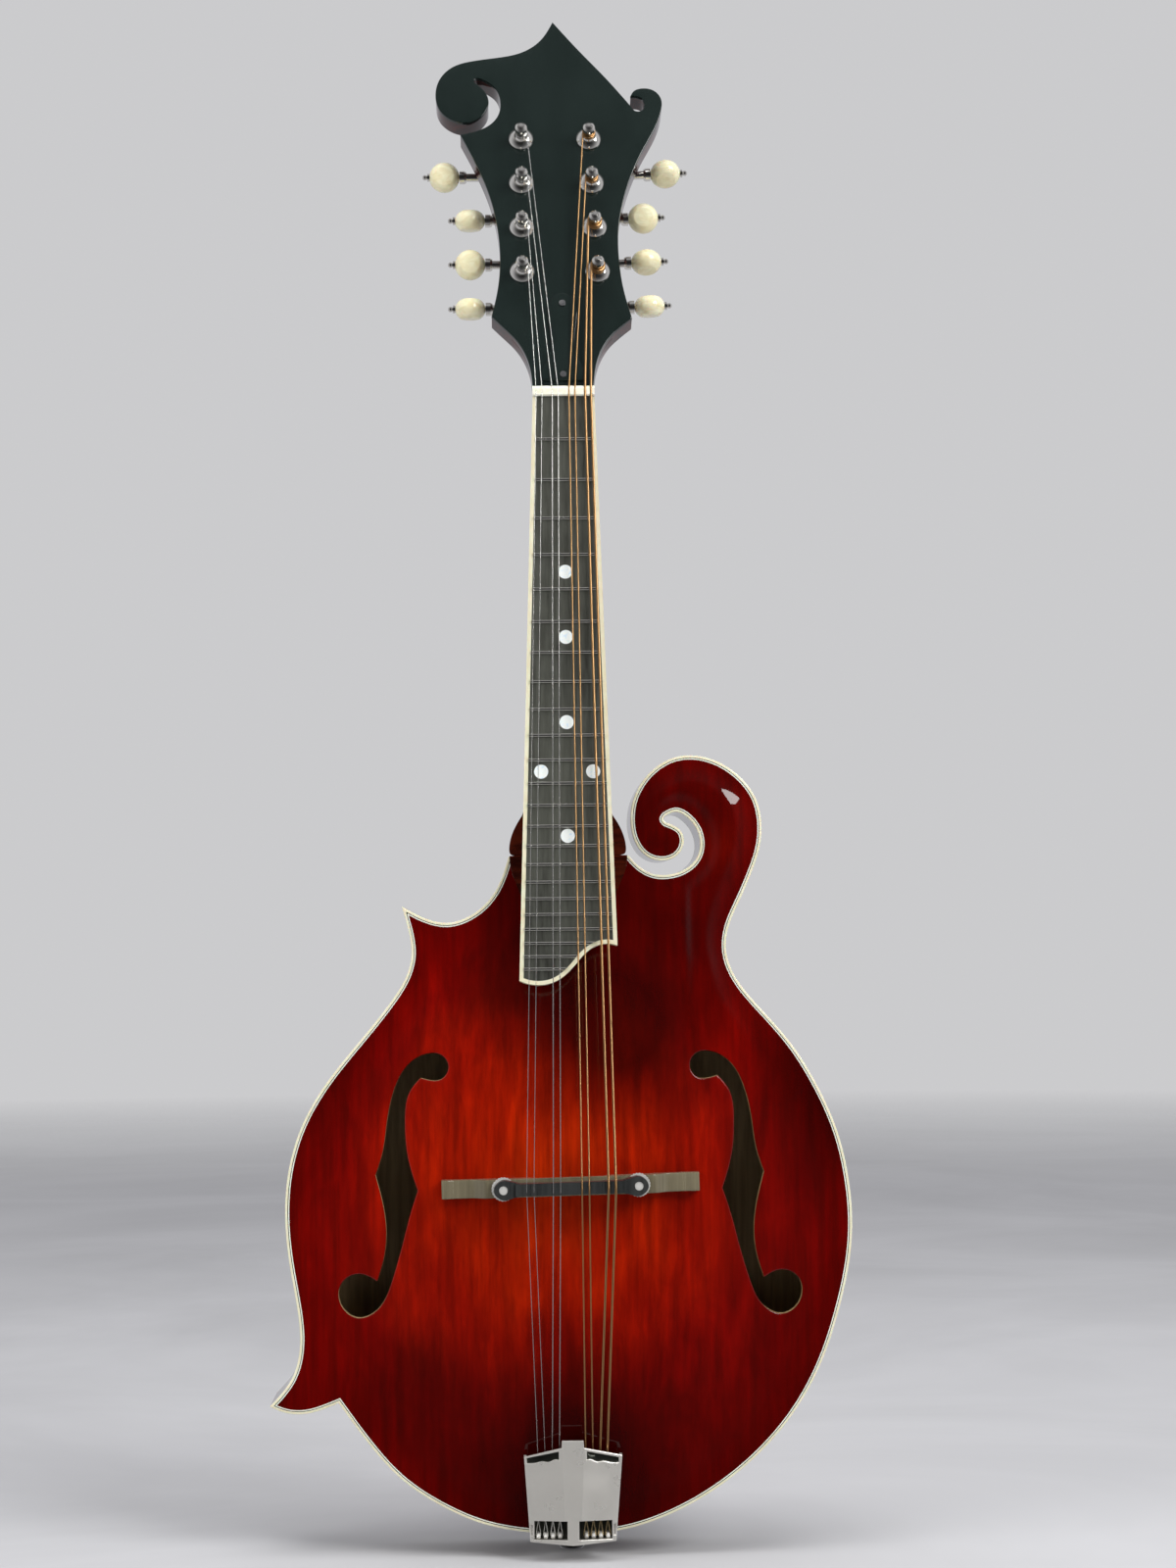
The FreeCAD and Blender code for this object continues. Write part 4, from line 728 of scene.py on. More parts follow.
BURST_TOP = [(0.0, (0.42, 0.017, 0.0007)), (0.15, (0.36, 0.010, 0.0006)),
             (0.3, (0.25, 0.004, 0.0005)), (0.43, (0.165, 0.0012, 0.0004)),
             (0.55, (0.11, 0.0006, 0.0003)), (0.7, (0.07, 0.0004, 0.0003)),
             (0.85, (0.04, 0.0003, 0.0003))]
# Spots of painted shade on the top, where it lies in shade: x, z, reach and strength.
TOP_PAINTED_SHADE_SPOTS = [(24, 238, 58, 0.9), (-22, 262, 40, 0.6), (0, 44, 66, 0.9), (122, 205, 60, 0.75),
              (-115, 215, 40, 0.5), (60, 318, 60, 0.55), (-70, 76, 30, 0.5)]
BURST_BACK = [(0.0, (0.34, 0.06, 0.008)), (0.25, (0.22, 0.022, 0.003)),
              (0.45, (0.09, 0.006, 0.0012)), (0.62, (0.028, 0.0016, 0.0007)),
              (0.85, (0.008, 0.0008, 0.0005))]

SCROLL_GLOW = (0.062, -0.025, 0.318)
top_lacquer = sunburst("top_lacquer", 16, False, (-8, 166), (118, 116), BURST_TOP, TOP_PAINTED_SHADE_SPOTS)
back_lacquer = sunburst("back_lacquer", 30, True, (0, 168), (112, 122), BURST_BACK)
side_lacquer = figured_maple("side_lacquer", (0.075, 0.010, 0.003), (0.018, 0.002, 0.001))
neck_lacquer = figured_maple("neck_lacquer", (0.060, 0.008, 0.003), (0.016, 0.002, 0.001))
head_gloss = lacquered("head_gloss", (0.0075, 0.013, 0.0115), (0.011, 0.018, 0.016), (30, 30, 12),
                       coat_roughness=0.02)
head_side = lacquered("head_side", (0.030, 0.006, 0.004), (0.012, 0.003, 0.002), (60, 60, 20))
inside_wood = bare_wood("inside_wood", (0.46, 0.33, 0.16), (0.30, 0.20, 0.09))
cream = cream_plastic("cream_binding", (0.84, 0.80, 0.60), (0.78, 0.72, 0.50))
white_line = cream_plastic("white_line", (0.86, 0.85, 0.76), (0.80, 0.78, 0.66))
black_line = lacquered("black_line", (0.006, 0.006, 0.006), (0.012, 0.011, 0.010), (80, 80, 80))
# The fingerboard's ebony is lighter and greyer than the wood: partly its own tone, partly a painted
# sheen standing in for reflections on the board.
ebony = ebony_like("ebony", (0.062, 0.064, 0.052), (0.026, 0.026, 0.021), 0.36)
ebony_bridge = ebony_like("ebony_bridge", (0.030, 0.032, 0.031), (0.012, 0.013, 0.013), 0.30)
bridge_wood = ebony_like("bridge_wood", (0.150, 0.130, 0.082), (0.105, 0.090, 0.058), 0.22)
bone = cream_plastic("bone", (0.90, 0.89, 0.76), (0.82, 0.79, 0.62), 300.0, 0.3, 0.2)
button_pearl = cream_plastic("button_pearl", (0.90, 0.86, 0.60), (0.78, 0.70, 0.42), 130.0, 0.2, 0.5)
black_gloss = lacquered("black_gloss", (0.010, 0.009, 0.008), (0.018, 0.015, 0.013), (70, 70, 30),
                        coat_roughness=0.05)
nickel = plated("nickel", (0.80, 0.78, 0.73), 0.12)
satin_nickel = plated("satin_nickel", (0.80, 0.775, 0.72), 0.36, 0.0, 0.55)
bright_nickel = plated("bright_nickel", (0.92, 0.91, 0.86), 0.22, 0.05, 0.45)
# Dark nickel for the sheets behind the tailpiece's slots and windows: painted shade.
painted_shade_nickel = plated("painted_shade_nickel", (0.10, 0.105, 0.09), 0.4, 0.1)
fret_silver = plated("fret_silver", (0.74, 0.73, 0.66), 0.2)
steel = plated("steel", (0.55, 0.55, 0.55), 0.3)
string_steel = plated("string_steel", (0.82, 0.81, 0.78), 0.2)
string_bronze = wound("string_bronze", (0.86, 0.50, 0.22))
loop_brass = plated("loop_brass", (0.78, 0.62, 0.36), 0.25)
shell_inlay = pearl("shell_inlay")

# ---------------------------------------------------------------- the body's outlines

BODY_STRETCHES = [
    # heel to the upper point
    [(-26.5, 312.5), (-29, 304.5), (-35, 293.5), (-44, 286), (-54, 283), (-65.5, 285.7),
     (-74.5, 290.5)],
    # waist and left side, down to the lower point
    [(-74.5, 290.5), (-71.9, 280.7), (-70.3, 269), (-73, 258.5), (-79.5, 248), (-92.8, 231.4),
     (-107, 214), (-118.5, 195.5), (-125.3, 175.5), (-127.5, 153), (-125.3, 129),
     (-121.8, 108), (-121.2, 94), (-125, 80), (-134.7, 68)],
    # underside of the lower point
    [(-134.7, 68), (-128, 65.3), (-119, 64.6), (-110, 66.9), (-104, 69.2)],
    # lower bout, right side, scroll and its curl, in to the slot's end
    [(-104, 69.2), (-88, 47.7), (-76.4, 35.4), (-58.5, 23.2), (-40.4, 15.2), (-20, 11.1),
     (0, 10), (20, 11.3), (39.4, 16.6), (62.1, 28), (83.5, 44.6), (100.3, 63.9),
     (112.7, 86.4), (120.5, 109.4), (125.4, 131.7), (126.6, 150), (125.4, 165.2), (120.5, 187.6),
     (111.5, 208.7), (99.8, 227.7), (85.2, 244.7), (74.5, 259), (71.2, 270), (72.4, 280),
     (77.5, 292), (83, 304.5), (86.8, 316), (87.6, 328), (85, 338.5), (79.4, 346.5), (70, 353.7),
     (59.8, 357.2), (49, 356.7), (40.1, 352.1), (33.2, 344.5), (29.5, 336), (28.7, 327),
     (30.6, 318.7), (35.3, 312.6), (42, 310.2), (48.6, 311.8), (52.4, 317), (51.8, 322.8),
     (44.6, 327.4)],
    [(44.6, 327.4), (43.6, 328.8), (44.4, 330.2)],
    # the slot's outer wall, back to the heel
    [(44.4, 330.2), (49, 332.1), (54.5, 329.4), (58.6, 324), (60, 317.8), (58.3, 311.2),
     (53.5, 306.5), (46.6, 304), (39, 304.2), (32.5, 307.6), (27.8, 312.5)],
    [(27.8, 312.5), (-26.5, 312.5)],
]

# The left sound hole; the right one is its mirror image.
SOUND_HOLE = [
    [(-66.6, 213.7), (-71.2, 208), (-73.6, 193), (-72.6, 180), (-68, 163.8)],
    [(-68, 163.8), (-71.5, 153), (-75.4, 138.3), (-80.1, 122.6), (-86.8, 110.3), (-95.2, 107),
     (-102.6, 112.5), (-102.1, 122.9), (-94.5, 126.7), (-86.4, 123.5)],
    [(-86.4, 123.5), (-82.9, 135.9), (-82.4, 150), (-86.9, 170.6)],
    [(-86.9, 170.6), (-83.6, 181), (-81.8, 193), (-78.8, 207.3), (-72.8, 218.9), (-64.5, 224.3),
     (-57, 223.8), (-54, 218.8), (-56.8, 213.4), (-66.6, 213.7)],
]

BINDING_WIDTH = 1.9
CREAM_WIDTH = 1.1
LINE_WIDTH = 0.3
PLATE_THICKNESS = 4.9
rim_face = -node_box("top_binding")[0].y  # the binding's face, in front and behind
rib_face = -node_box("ribs")[0].y

body_loop = outline(BODY_STRETCHES)
plate_loop = inset(body_loop, BINDING_WIDTH)
hole_loops = [outline([[(side * x, z) for x, z in stretch] for stretch in SOUND_HOLE], 0.6)
              for side in (1, -1)]
slot_part = [BODY_STRETCHES[3][-6:], BODY_STRETCHES[4], BODY_STRETCHES[5]]
slot_edge = np.concatenate([smooth_curve(part, 0.8) for part in slot_part])
outer_edge = smooth_curve(BODY_STRETCHES[3][:-6], 0.8)

# ---------------------------------------------------------------- the carved plates

ARCH_CENTRE = 165.0
ARCH_HALF_WIDTH = 118.0
ARCH_BELOW = 150.0
ARCH_ABOVE = 130.0
ARCH_TAPER = 0.35
SCROLL_CREST = 2.6


def arch(x, z, rise):
    """The carving's height above the rim, as the CAD plates have it."""
    up = z - ARCH_CENTRE
    reach = np.where(up > 0, ARCH_ABOVE, ARCH_BELOW)
    half = ARCH_HALF_WIDTH * (1 - np.where(up > 0, ARCH_TAPER * np.minimum(up / reach, 1), 0))
    spread = (x / half) ** 2 + (up / reach) ** 2
    return rise * np.maximum(0, 1 - spread) ** 1.5


def distance_to_curve(points, curve):
    """Distance to an open curve given as close points."""
    tree = KDTree(len(curve))
    for i, (x, z) in enumerate(curve):
        tree.insert((x, z, 0), i)
    tree.balance()
    found = np.array([tree.find((x, z, 0))[1] for x, z in points])
    best = np.full(len(points), np.inf)
    for shift in (-1, 0):
        a = curve[np.clip(found + shift, 0, len(curve) - 2)]
        b = curve[np.clip(found + shift, 0, len(curve) - 2) + 1]
        along = b - a
        length2 = np.maximum(np.sum(along * along, axis=1), 1e-12)
        t = np.clip(np.sum((points - a) * along, axis=1) / length2, 0, 1)
        best = np.minimum(best, np.linalg.norm(points - a - along * t[:, None], axis=1))
    return best


def scroll_crest(points):
    """The ridge carved parallel to the edge, round the scroll and down the waist beside it."""
    x, z = points.T
    gap = distance_to_curve(points, outer_edge) - BINDING_WIDTH
    crest_at = np.interp(z, [205, 235, 265, 300, 330], [15, 11, 7, 10.5, 10.5])
    share = np.maximum(gap, 0) / crest_at
    outside = np.minimum(share, 1) ** 1.35
    fall = np.interp(z, [275, 318], [1.0, 0.45])  # below the scroll the ridge dies away inward
    inside_fall = 1 - fall * smoothstep(1.0, 3.2, share)
    curl = np.where((z > 309) & (x < 53), 1.0, 0.0)
    weight = np.maximum(np.where(z > 330, 1.0, curl),
                        smoothstep(44, 58, x) * smoothstep(196, 262, z))
    curl_end = np.where(x < 54, 1 - 0.8 * smoothstep(337, 316, z), 1.0)
    flush = smoothstep(0, 9, distance_to_curve(points, slot_edge) - BINDING_WIDTH)
    return SCROLL_CREST * outside * inside_fall * weight * curl_end * flush


def plate_height(rise, facing):
    """Depth of a plate's outer face: arch, scroll ridge, and a shallow channel by the edge."""

    def depth(x, z):
        points = np.stack([x, z], axis=1)
        gap = np.maximum(nearest(points, body_loop) - BINDING_WIDTH, 0)
        channel = 0.55 * (1 - np.exp(-gap / 2.5)) * np.exp(-((gap - 5) / 8) ** 2)
        near_neck = smoothstep(24, 38, np.abs(x)) + smoothstep(262, 240, z)
        channel = channel * np.minimum(near_neck, 1)
        ridge = scroll_crest(points)
        height = arch(x, z, rise) + ridge - channel * (ridge < 0.05)
        return facing * (rim_face + height)

    return depth


def inner_face(rise, facing):
    return lambda x, z: facing * (rim_face + arch(x, z, rise) - PLATE_THICKNESS)


TOP_RISE = -node_box("top_plate")[0].y - rim_face
BACK_RISE = node_box("back_plate")[1].y - rim_face


def make_plate(name, rise, facing, holes, material):
    """A carved plate with rounded sound hole edges."""
    outer = plate_height(rise, facing)
    inner = inner_face(rise, facing)
    round_edge = 0.45
    shell = Shell()
    shell.fill([plate_loop] + [inset(hole, -round_edge) for hole in holes], outer, 2.0)
    shell.strips([lifted(plate_loop, outer), lifted(plate_loop, inner)])
    shell.kind = 1
    shell.fill([plate_loop] + list(holes), inner, 6.0)
    for hole in holes:
        rows = [lifted(inset(hole, -round_edge), outer)]
        for out, sink in ((0.13, 0.13), (0.0, round_edge)):
            ring = inset(hole, -out)
            rows.append(lifted(ring, lambda x, z, s=sink: outer(x, z) - facing * s))
        shell.kind = 0
        shell.strips(rows)
        shell.kind = 1
        shell.strips([rows[-1], lifted(hole, inner)])
    make_piece(f"{name}_carved", shell, (material, inside_wood), stands_for=(name,),
               sharp=50)


def make_binding(name, facing):
    """Cream, black and white strips let into the plate's edge."""
    start = facing * rib_face
    face = facing * rim_face
    strips = [
        ("cream", cream, 0.0, CREAM_WIDTH, 0.35),
        ("black", black_line, CREAM_WIDTH, CREAM_WIDTH + LINE_WIDTH, 0.0),
        ("white", white_line, CREAM_WIDTH + LINE_WIDTH, BINDING_WIDTH, 0.0),
    ]
    for label, material, outer, inner, edge in strips:
        stations = [(outer, start)]
        if edge:
            stations += [(outer, face - facing * edge), (outer + 0.3 * edge, face - facing * 0.3 * edge)]
        stations += [(outer + edge, face), (inner, face), (inner, start)]
        shell = Shell()
        shell.strips(rows_round(body_loop, stations), around=True)
        make_piece(f"{name}_{label}", shell, material, stands_for=(name,), sharp=50)


def make_ribs():
    """The sides, lacquered outside and bare inside."""
    shell = Shell()
    thickness = 1.0
    steps = 8
    levels = [rib_face * (2 * i / steps - 1) for i in range(steps + 1)]
    shell.strips(rows_round(body_loop, [(0, y) for y in levels]))
    shell.kind = 1
    shell.strips(rows_round(body_loop, [(0, rib_face), (thickness, rib_face),
                                        (thickness, -rib_face), (0, -rib_face)]))
    make_piece("ribs_band", shell, (side_lacquer, inside_wood), stands_for=("ribs",),
               sharp=50)


# ---------------------------------------------------------------- headstock and neck

HEAD_STRETCHES = [
    # up the left side from the nut
    [(-14, 4.7), (-14.8, 13), (-17.3, 21.5), (-21.7, 29), (-27, 34.8), (-32.3, 40.4)],
    [(-32.3, 40.4), (-29.8, 52), (-28.4, 64), (-28.5, 77), (-30.2, 91), (-34, 106), (-46.3, 134.8)],
    # the large curl's slot, in and out
    [(-46.3, 134.8), (-39.1, 136.6), (-32.8, 139.8), (-28.6, 145.2), (-27.6, 152), (-29.7, 159),
     (-36.6, 164.4)],
    [(-36.6, 164.4), (-39.2, 164.4), (-39.6, 162.6)],
    [(-39.6, 162.6), (-34.8, 157.7), (-33, 152), (-34.5, 146.8), (-38.8, 142.4), (-44.5, 141),
     (-50.5, 142.7), (-55.6, 147.3), (-57.8, 155.5), (-56, 164), (-50, 170.7), (-40, 174.1),
     (-29, 175.8), (-18, 178.4), (-9, 184.6), (-2.7, 195)],
    # down the right edge to the small hook
    [(-2.7, 195), (9.2, 179.9), (22, 164.6), (33.6, 149.4)],
    [(33.6, 149.4), (35.4, 147.2), (38.2, 147.3), (39.6, 150), (38.6, 153.5), (33.2, 154.9)],
    [(33.2, 154.9), (34.8, 157.7), (39, 159.2), (44.3, 158), (47.6, 153.6), (47.6, 148),
     (44.6, 138.4), (38.4, 126), (32.6, 112), (28.6, 98), (26.4, 84), (26.4, 70),
     (28, 55.5), (31.8, 39.4)],
    [(31.8, 39.4), (26.6, 34.9), (21.4, 29.5), (17.2, 22), (14.8, 13), (14, 4.7)],
    [(14, 4.7), (-14, 4.7)],
]
HEAD_THICKNESS = 13.0
OVERLAY = 2.0
BOARD_THICKNESS = 6.0
FERRULE_RADIUS = 4.3
COVER_STRETCHES = [
    [(-10.4, 7.4), (-9.6, 12.5), (-6.6, 19), (-5.4, 27), (-6.2, 36), (-6.6, 43), (-4.6, 49),
     (0, 51.6), (4.6, 49), (6.6, 43), (6.2, 36), (5.4, 27), (6.6, 19), (9.6, 12.5), (10.4, 7.4)],
    [(10.4, 7.4), (-10.4, 7.4)],
]
COVER_THICKNESS = 1.5


def posts_in_head():
    """(side, number, x, z) of each string post, on the headstock's face."""
    back = HEAD.inverted()
    found = []
    for side in ("left", "right"):
        for number in range(1, 5):
            at = back @ joint_point(f"post_{side}{number}_turn")
            found.append((side, number, at.x, at.z))
    return found


def make_headstock():
    """A gloss black face over the wood, both with softened edges and open post holes."""
    face = outline(HEAD_STRETCHES, 0.6)
    holes = [circle_loop(x, z, FERRULE_RADIUS, 32) for _, _, x, z in posts_in_head()]
    make_piece("headstock_face", slab([face] + holes, 0, OVERLAY, 0.45, 0.02), head_gloss, HEAD,
               40, stands_for=("headstock_veneer",))
    wood = inset(face, 0.08)
    make_piece("headstock_wood", slab([wood] + holes, OVERLAY, HEAD_THICKNESS - 0.06, 0.02, 1.3),
               neck_lacquer, HEAD, 40, stands_for=("neck",))
    cover = slab([outline(COVER_STRETCHES, 0.5)], -COVER_THICKNESS, 0, 0.5, 0.02)
    make_piece("truss_cover", cover, head_gloss, HEAD, 40, stands_for=("truss_rod_cover",))


def cut_away(data, matrix, point, normal):
    """Remove what lies beyond a plane of a local frame, and close the cut."""
    where = matrix @ Vector(point) * MM
    facing = matrix.to_3x3() @ Vector(normal)
    whole = data.verts[:] + data.edges[:] + data.faces[:]
    found = bmesh.ops.bisect_plane(data, geom=whole, plane_co=where, plane_no=facing,
                                   clear_outer=True)
    rim = [e for e in found["geom_cut"] if isinstance(e, bmesh.types.BMEdge)]
    bmesh.ops.holes_fill(data, edges=rim)


def make_neck():
    """The neck's shaft and heel as one smooth carving, cut crisply under the fingerboard."""
    data = bmesh.new()
    data.from_mesh(nodes["neck"].data)
    bmesh.ops.remove_doubles(data, verts=data.verts, dist=1e-6)
    flat = Matrix.Scale(MM, 4) @ NECK
    local = flat.inverted()
    for vertex in data.verts:
        spot = local @ vertex.co
        if abs(spot.y - BOARD_THICKNESS) < 0.05 and spot.z < 6:
            spot.y = BOARD_THICKNESS - 3
            vertex.co = flat @ spot
    cut_away(data, HEAD, (0, 0, 33), (0, 0, 1))
    mesh = bpy.data.meshes.new("neck_carved")
    data.to_mesh(mesh)
    data.free()
    mesh.materials.clear()
    mesh.materials.append(neck_lacquer)
    piece = add_object("neck_carved", mesh)
    remesh = piece.modifiers.new("carve", "REMESH")
    remesh.mode = "VOXEL"
    remesh.voxel_size = 0.8 * MM
    smooth = piece.modifiers.new("sand", "SMOOTH")
    smooth.factor = 0.5
    smooth.iterations = 30
    settled = piece.evaluated_get(bpy.context.evaluated_depsgraph_get())
    data = bmesh.new()
    data.from_mesh(settled.to_mesh())
    settled.to_mesh_clear()
    piece.modifiers.clear()
    cut_away(data, NECK, (0, BOARD_THICKNESS, 0), (0, -1, 0))
    cut_away(data, HEAD, (0, OVERLAY + 0.1, 0), (0, -1, 0))
    cut_away(data, HEAD, (0, 0, 31), (0, 0, 1))
    sharp_edges(data, 40)
    data.to_mesh(mesh)
    data.free()
    dress(piece, "root", ("neck",))


# ---------------------------------------------------------------- strings

STRING_RADII = [0.14, 0.14, 0.2, 0.2, 0.33, 0.33, 0.52, 0.52]
NUT_X = [-12.4, -9.7, -5.1, -2.4, 2.4, 5.1, 9.7, 12.4]
SADDLE_X = [-19.6, -16.4, -7.9, -4.7, 4.7, 7.9, 16.4, 19.6]
TAIL_X = [-15.4, -12.2, -9.0, -5.8, 5.8, 9.0, 12.2, 15.4]
HOOK_HEIGHT = 12.0
HOOK_DEPTH = -34.8
HOOK_RADIUS = 0.9
TWIST_HEIGHT = 18.6  # where a string's loop closes above its hook
LIP = (-35.3, 48.0)
SADDLE_TOP = 58.3
POST_WAIST = 2.35
WRAP_DEPTH = -6.4
WRAP_TURNS = 3


def post_matrix(side, number):
    return frame_at(joint_point(f"post_{side}{number}_turn"), RIGHT, head_back)


def string_ends(index):
    """The bends of one string, from its hook to its saddle slot, the nut and its post."""
    radius = STRING_RADII[index]
    side, number = ("left", index + 1) if index < 4 else ("right", 8 - index)
    hook = Vector((TAIL_X[index], HOOK_DEPTH, HOOK_HEIGHT + HOOK_RADIUS + 2 * radius + 0.2))
    lip = Vector((TAIL_X[index], *LIP))
    slope = (wheel_right.z - wheel_left.z) / (wheel_right.x - wheel_left.x)
    saddle = Vector((SADDLE_X[index], -SADDLE_TOP - radius,
                     bridge_middle.z + SADDLE_X[index] * slope))
    nut = NECK @ Vector((NUT_X[index], -1.45, 2.35))
    inwards = 1 if index < 4 else -1
    post = post_matrix(side, number) @ Vector((inwards * (POST_WAIST + radius + 0.1), WRAP_DEPTH, -1.5))
    return hook, lip, saddle, nut, post


def bent(points, reach=2.5, steps=5):
    """A path through points with its corners rounded."""
    path = [points[0]]
    for before, corner, after in zip(points, points[1:], points[2:]):
        start = corner + (before - corner).normalized() * reach
        end = corner + (after - corner).normalized() * reach
        for i in range(steps + 1):
            t = i / steps
            path.append(start * (1 - t) ** 2 + corner * 2 * t * (1 - t) + end * t * t)
    path.append(points[-1])
    return path


def hook_wire(index):
    """The loop at a string's end: round its hook, closed by a twist above it."""
    radius = min(STRING_RADII[index], 0.26)
    ring = HOOK_RADIUS + radius + 0.08
    x = TAIL_X[index]
    turns = np.linspace(-0.12 * math.pi, -0.88 * math.pi, 14)
    drop = [Vector((x + ring * math.cos(a), HOOK_DEPTH, HOOK_HEIGHT + ring * math.sin(a)))
            for a in turns]
    top = Vector((x, HOOK_DEPTH, TWIST_HEIGHT))
    loop = tube_along([top] + drop + [top], radius, 8)
    core = STRING_RADII[index]
    coil = []
    for k in range(8 * 10 + 1):
        a = 2 * math.pi * k / 10
        coil.append(Vector((x + (core + radius) * math.cos(a),
                            HOOK_DEPTH + (core + radius) * math.sin(a),
                            TWIST_HEIGHT - 0.5 + 0.62 * k / 10 * (radius + 0.14) * 2.6)))
    return merged([loop, tube_along(coil, radius, 6)])


def post_coil(index):
    """The string's turns round its post."""
    radius = STRING_RADII[index]
    side, number = ("left", index + 1) if index < 4 else ("right", 8 - index)
    around = POST_WAIST + radius + 0.05
    steps = 28
    path = []
    for k in range(WRAP_TURNS * steps + 1):
        a = 2 * math.pi * k / steps
        depth = WRAP_DEPTH + (2 * radius + 0.06) * (k / steps - 0.1)
        path.append(Vector((around * math.cos(a), depth, around * math.sin(a))))
    return placed(tube_along(path, radius, 10), post_matrix(side, number))


def make_strings():
    for label, indices, material in (("plain", range(4), string_steel),
                                     ("wound", range(4, 8), string_bronze)):
        node = f"{label}_strings"
        below, above, loops = [], [], []
        for index in indices:
            hook, lip, saddle, nut, post = string_ends(index)
            radius = STRING_RADII[index]
            start = Vector((hook.x, hook.y, TWIST_HEIGHT))
            into = (nut - saddle).normalized()
            below.append(tube_along(bent([start, lip, saddle, saddle + into * 3.5], 2.0)[:-1], radius))
            above.append(tube_along(bent([saddle + (lip - saddle).normalized() * 0.2, nut, post]),
                                    radius))
            loops.append(hook_wire(index))
            side, number = ("left", index + 1) if index < 4 else ("right", 8 - index)
            make_piece(f"string_wraps_{side}{number}", post_coil(index), material, sharp=60,
                       body=f"post_{side}{number}", stands_for=(node,))
        tail = make_piece(f"{node}_behind_bridge", merged(below), material, sharp=60, body=None,
                          stands_for=(node,))
        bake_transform(tail)
        main = make_piece(f"{node}_over_board", merged(above), material, sharp=60, body=None,
                          stands_for=(node,))
        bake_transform(main)
        make_piece(f"{node}_loops", merged(loops), bright_nickel if label == "plain" else loop_brass,
                   sharp=60, stands_for=(node,))


# ---------------------------------------------------------------- bridge and tailpiece

BRIDGE_END = 57.2
BRIDGE_HALF_WIDTH = 4.1
BRIDGE_TOP = -46.3
FEET = (14.0, 19.0)  # between the feet the base clears the top
CLEARANCE = -42.6


def make_bridge_base():
    """The base: a flat middle, ends scooped down, and a low lip at each tip."""

    def top_face(x, z):
        along = np.abs(x)
        scoop = 5.0 * smoothstep(37, 43.5, along) + 0.9 * smoothstep(43.5, 51, along)
        return BRIDGE_TOP + scoop - 1.3 * smoothstep(51.5, 54.5, along)

    def underside(x, z):
        world_x = x * BRIDGE[0][0] + z * BRIDGE[0][2] + BRIDGE[0][3]
        world_z = x * BRIDGE[2][0] + z * BRIDGE[2][2] + BRIDGE[2][3]
        seat = plate_height(TOP_RISE, -1)(world_x, world_z) - 0.05
        clear = 1 - smoothstep(FEET[0], FEET[1], np.abs(x))
        return seat + clear * np.minimum(CLEARANCE - seat, 0)

    ends = [[(-BRIDGE_END, -BRIDGE_HALF_WIDTH), (BRIDGE_END, -BRIDGE_HALF_WIDTH)],
            [(BRIDGE_END, -BRIDGE_HALF_WIDTH), (BRIDGE_END, BRIDGE_HALF_WIDTH)],
            [(BRIDGE_END, BRIDGE_HALF_WIDTH), (-BRIDGE_END, BRIDGE_HALF_WIDTH)],
            [(-BRIDGE_END, BRIDGE_HALF_WIDTH), (-BRIDGE_END, -BRIDGE_HALF_WIDTH)]]
    base = slab([outline(ends)], top_face, underside, 0.45, 0.1, 1.6)
    make_piece("bridge_base_shaped", base, bridge_wood, BRIDGE, 40, stands_for=("bridge_base",))


TAIL_OUTLINE = [(-19, 9.2), (0, 7.7), (19, 9.2), (22, 46.8), (5, 50.6), (4.8, 53.8),
                (-4.8, 53.8), (-5, 50.6), (-21.6, 46.4)]
TAIL_WINDOWS = [(-17.2, -2.6), (2.6, 17.2)]
WINDOW_ROWS = (10.2, 18.4)
CREASES = [((-3.25, 7.7), (-5.3, 53.8)), ((3.25, 7.7), (5.3, 53.8))]
TAIL_FRONT = -41.0
TAIL_SLOPE = 0.2
TAIL_SHEET = 1.2
TAIL_SEAT = 8.3


def tail_roof(x, z):
    """Depth of the tailpiece's front: a flat middle facet, and one falling away to each side."""
    middle = np.interp(z, [7.7, 53.8], [3.25, 5.3])
    return TAIL_FRONT + TAIL_SLOPE * np.maximum(np.abs(x) - middle, 0)


def box_loop(low, high, bottom, top, spacing=1.0):
    return outline([[(low, bottom), (high, bottom)], [(high, bottom), (high, top)],
                    [(high, top), (low, top)], [(low, top), (low, bottom)]], spacing)


def make_tailpiece():
    """The pressed cover with its windows and top slots, its folded sides, and eight hooks; the top slots
    show dark sheets behind them as painted shade under the cover's top lip.
    """
    pairs = list(zip(TAIL_OUTLINE, TAIL_OUTLINE[1:] + TAIL_OUTLINE[:1]))
    edge = outline([[a, b] for a, b in pairs], 1.0)
    bands = []
    # The top slots: bands with a wavy lower edge, where the dark sheets behind show as painted shade
    # under the lip.
    for side in (-1, 1):
        wave = [(20.4, 43.7), (16.5, 43.9), (13.5, 44.6), (10.5, 44.4), (7.8, 45.6), (6.2, 45.4)]
        upper = [(6.2, 49.0), (20.4, 45.9)]
        low = [(side * x, z) for x, z in wave]
        high = [(side * x, z) for x, z in upper]
        bands.append(outline([low, [low[-1], high[0]], high, [high[-1], low[0]]], 0.8))
    windows = [box_loop(*window, *WINDOW_ROWS) for window in TAIL_WINDOWS]
    small = [outline([[(s * 18.0, 12.0), (s * 18.6, 12.0)], [(s * 18.6, 12.0), (s * 19.0, 16.6)],
                      [(s * 19.0, 16.6), (s * 18.0, 16.6)], [(s * 18.0, 16.6), (s * 18.0, 12.0)]],
                     0.5) for s in (-1, 1)]
    holes = [anticlockwise(loop) for loop in bands + windows + small]
    cover = slab([edge] + holes, level(0), level(TAIL_SHEET), 0.3, 0.2, 2.4)
    cover = folded(cover, CREASES, tail_roof)
    make_piece("tailpiece_cover", cover, satin_nickel, sharp=8, stands_for=("tailpiece",))
    make_tail_walls()


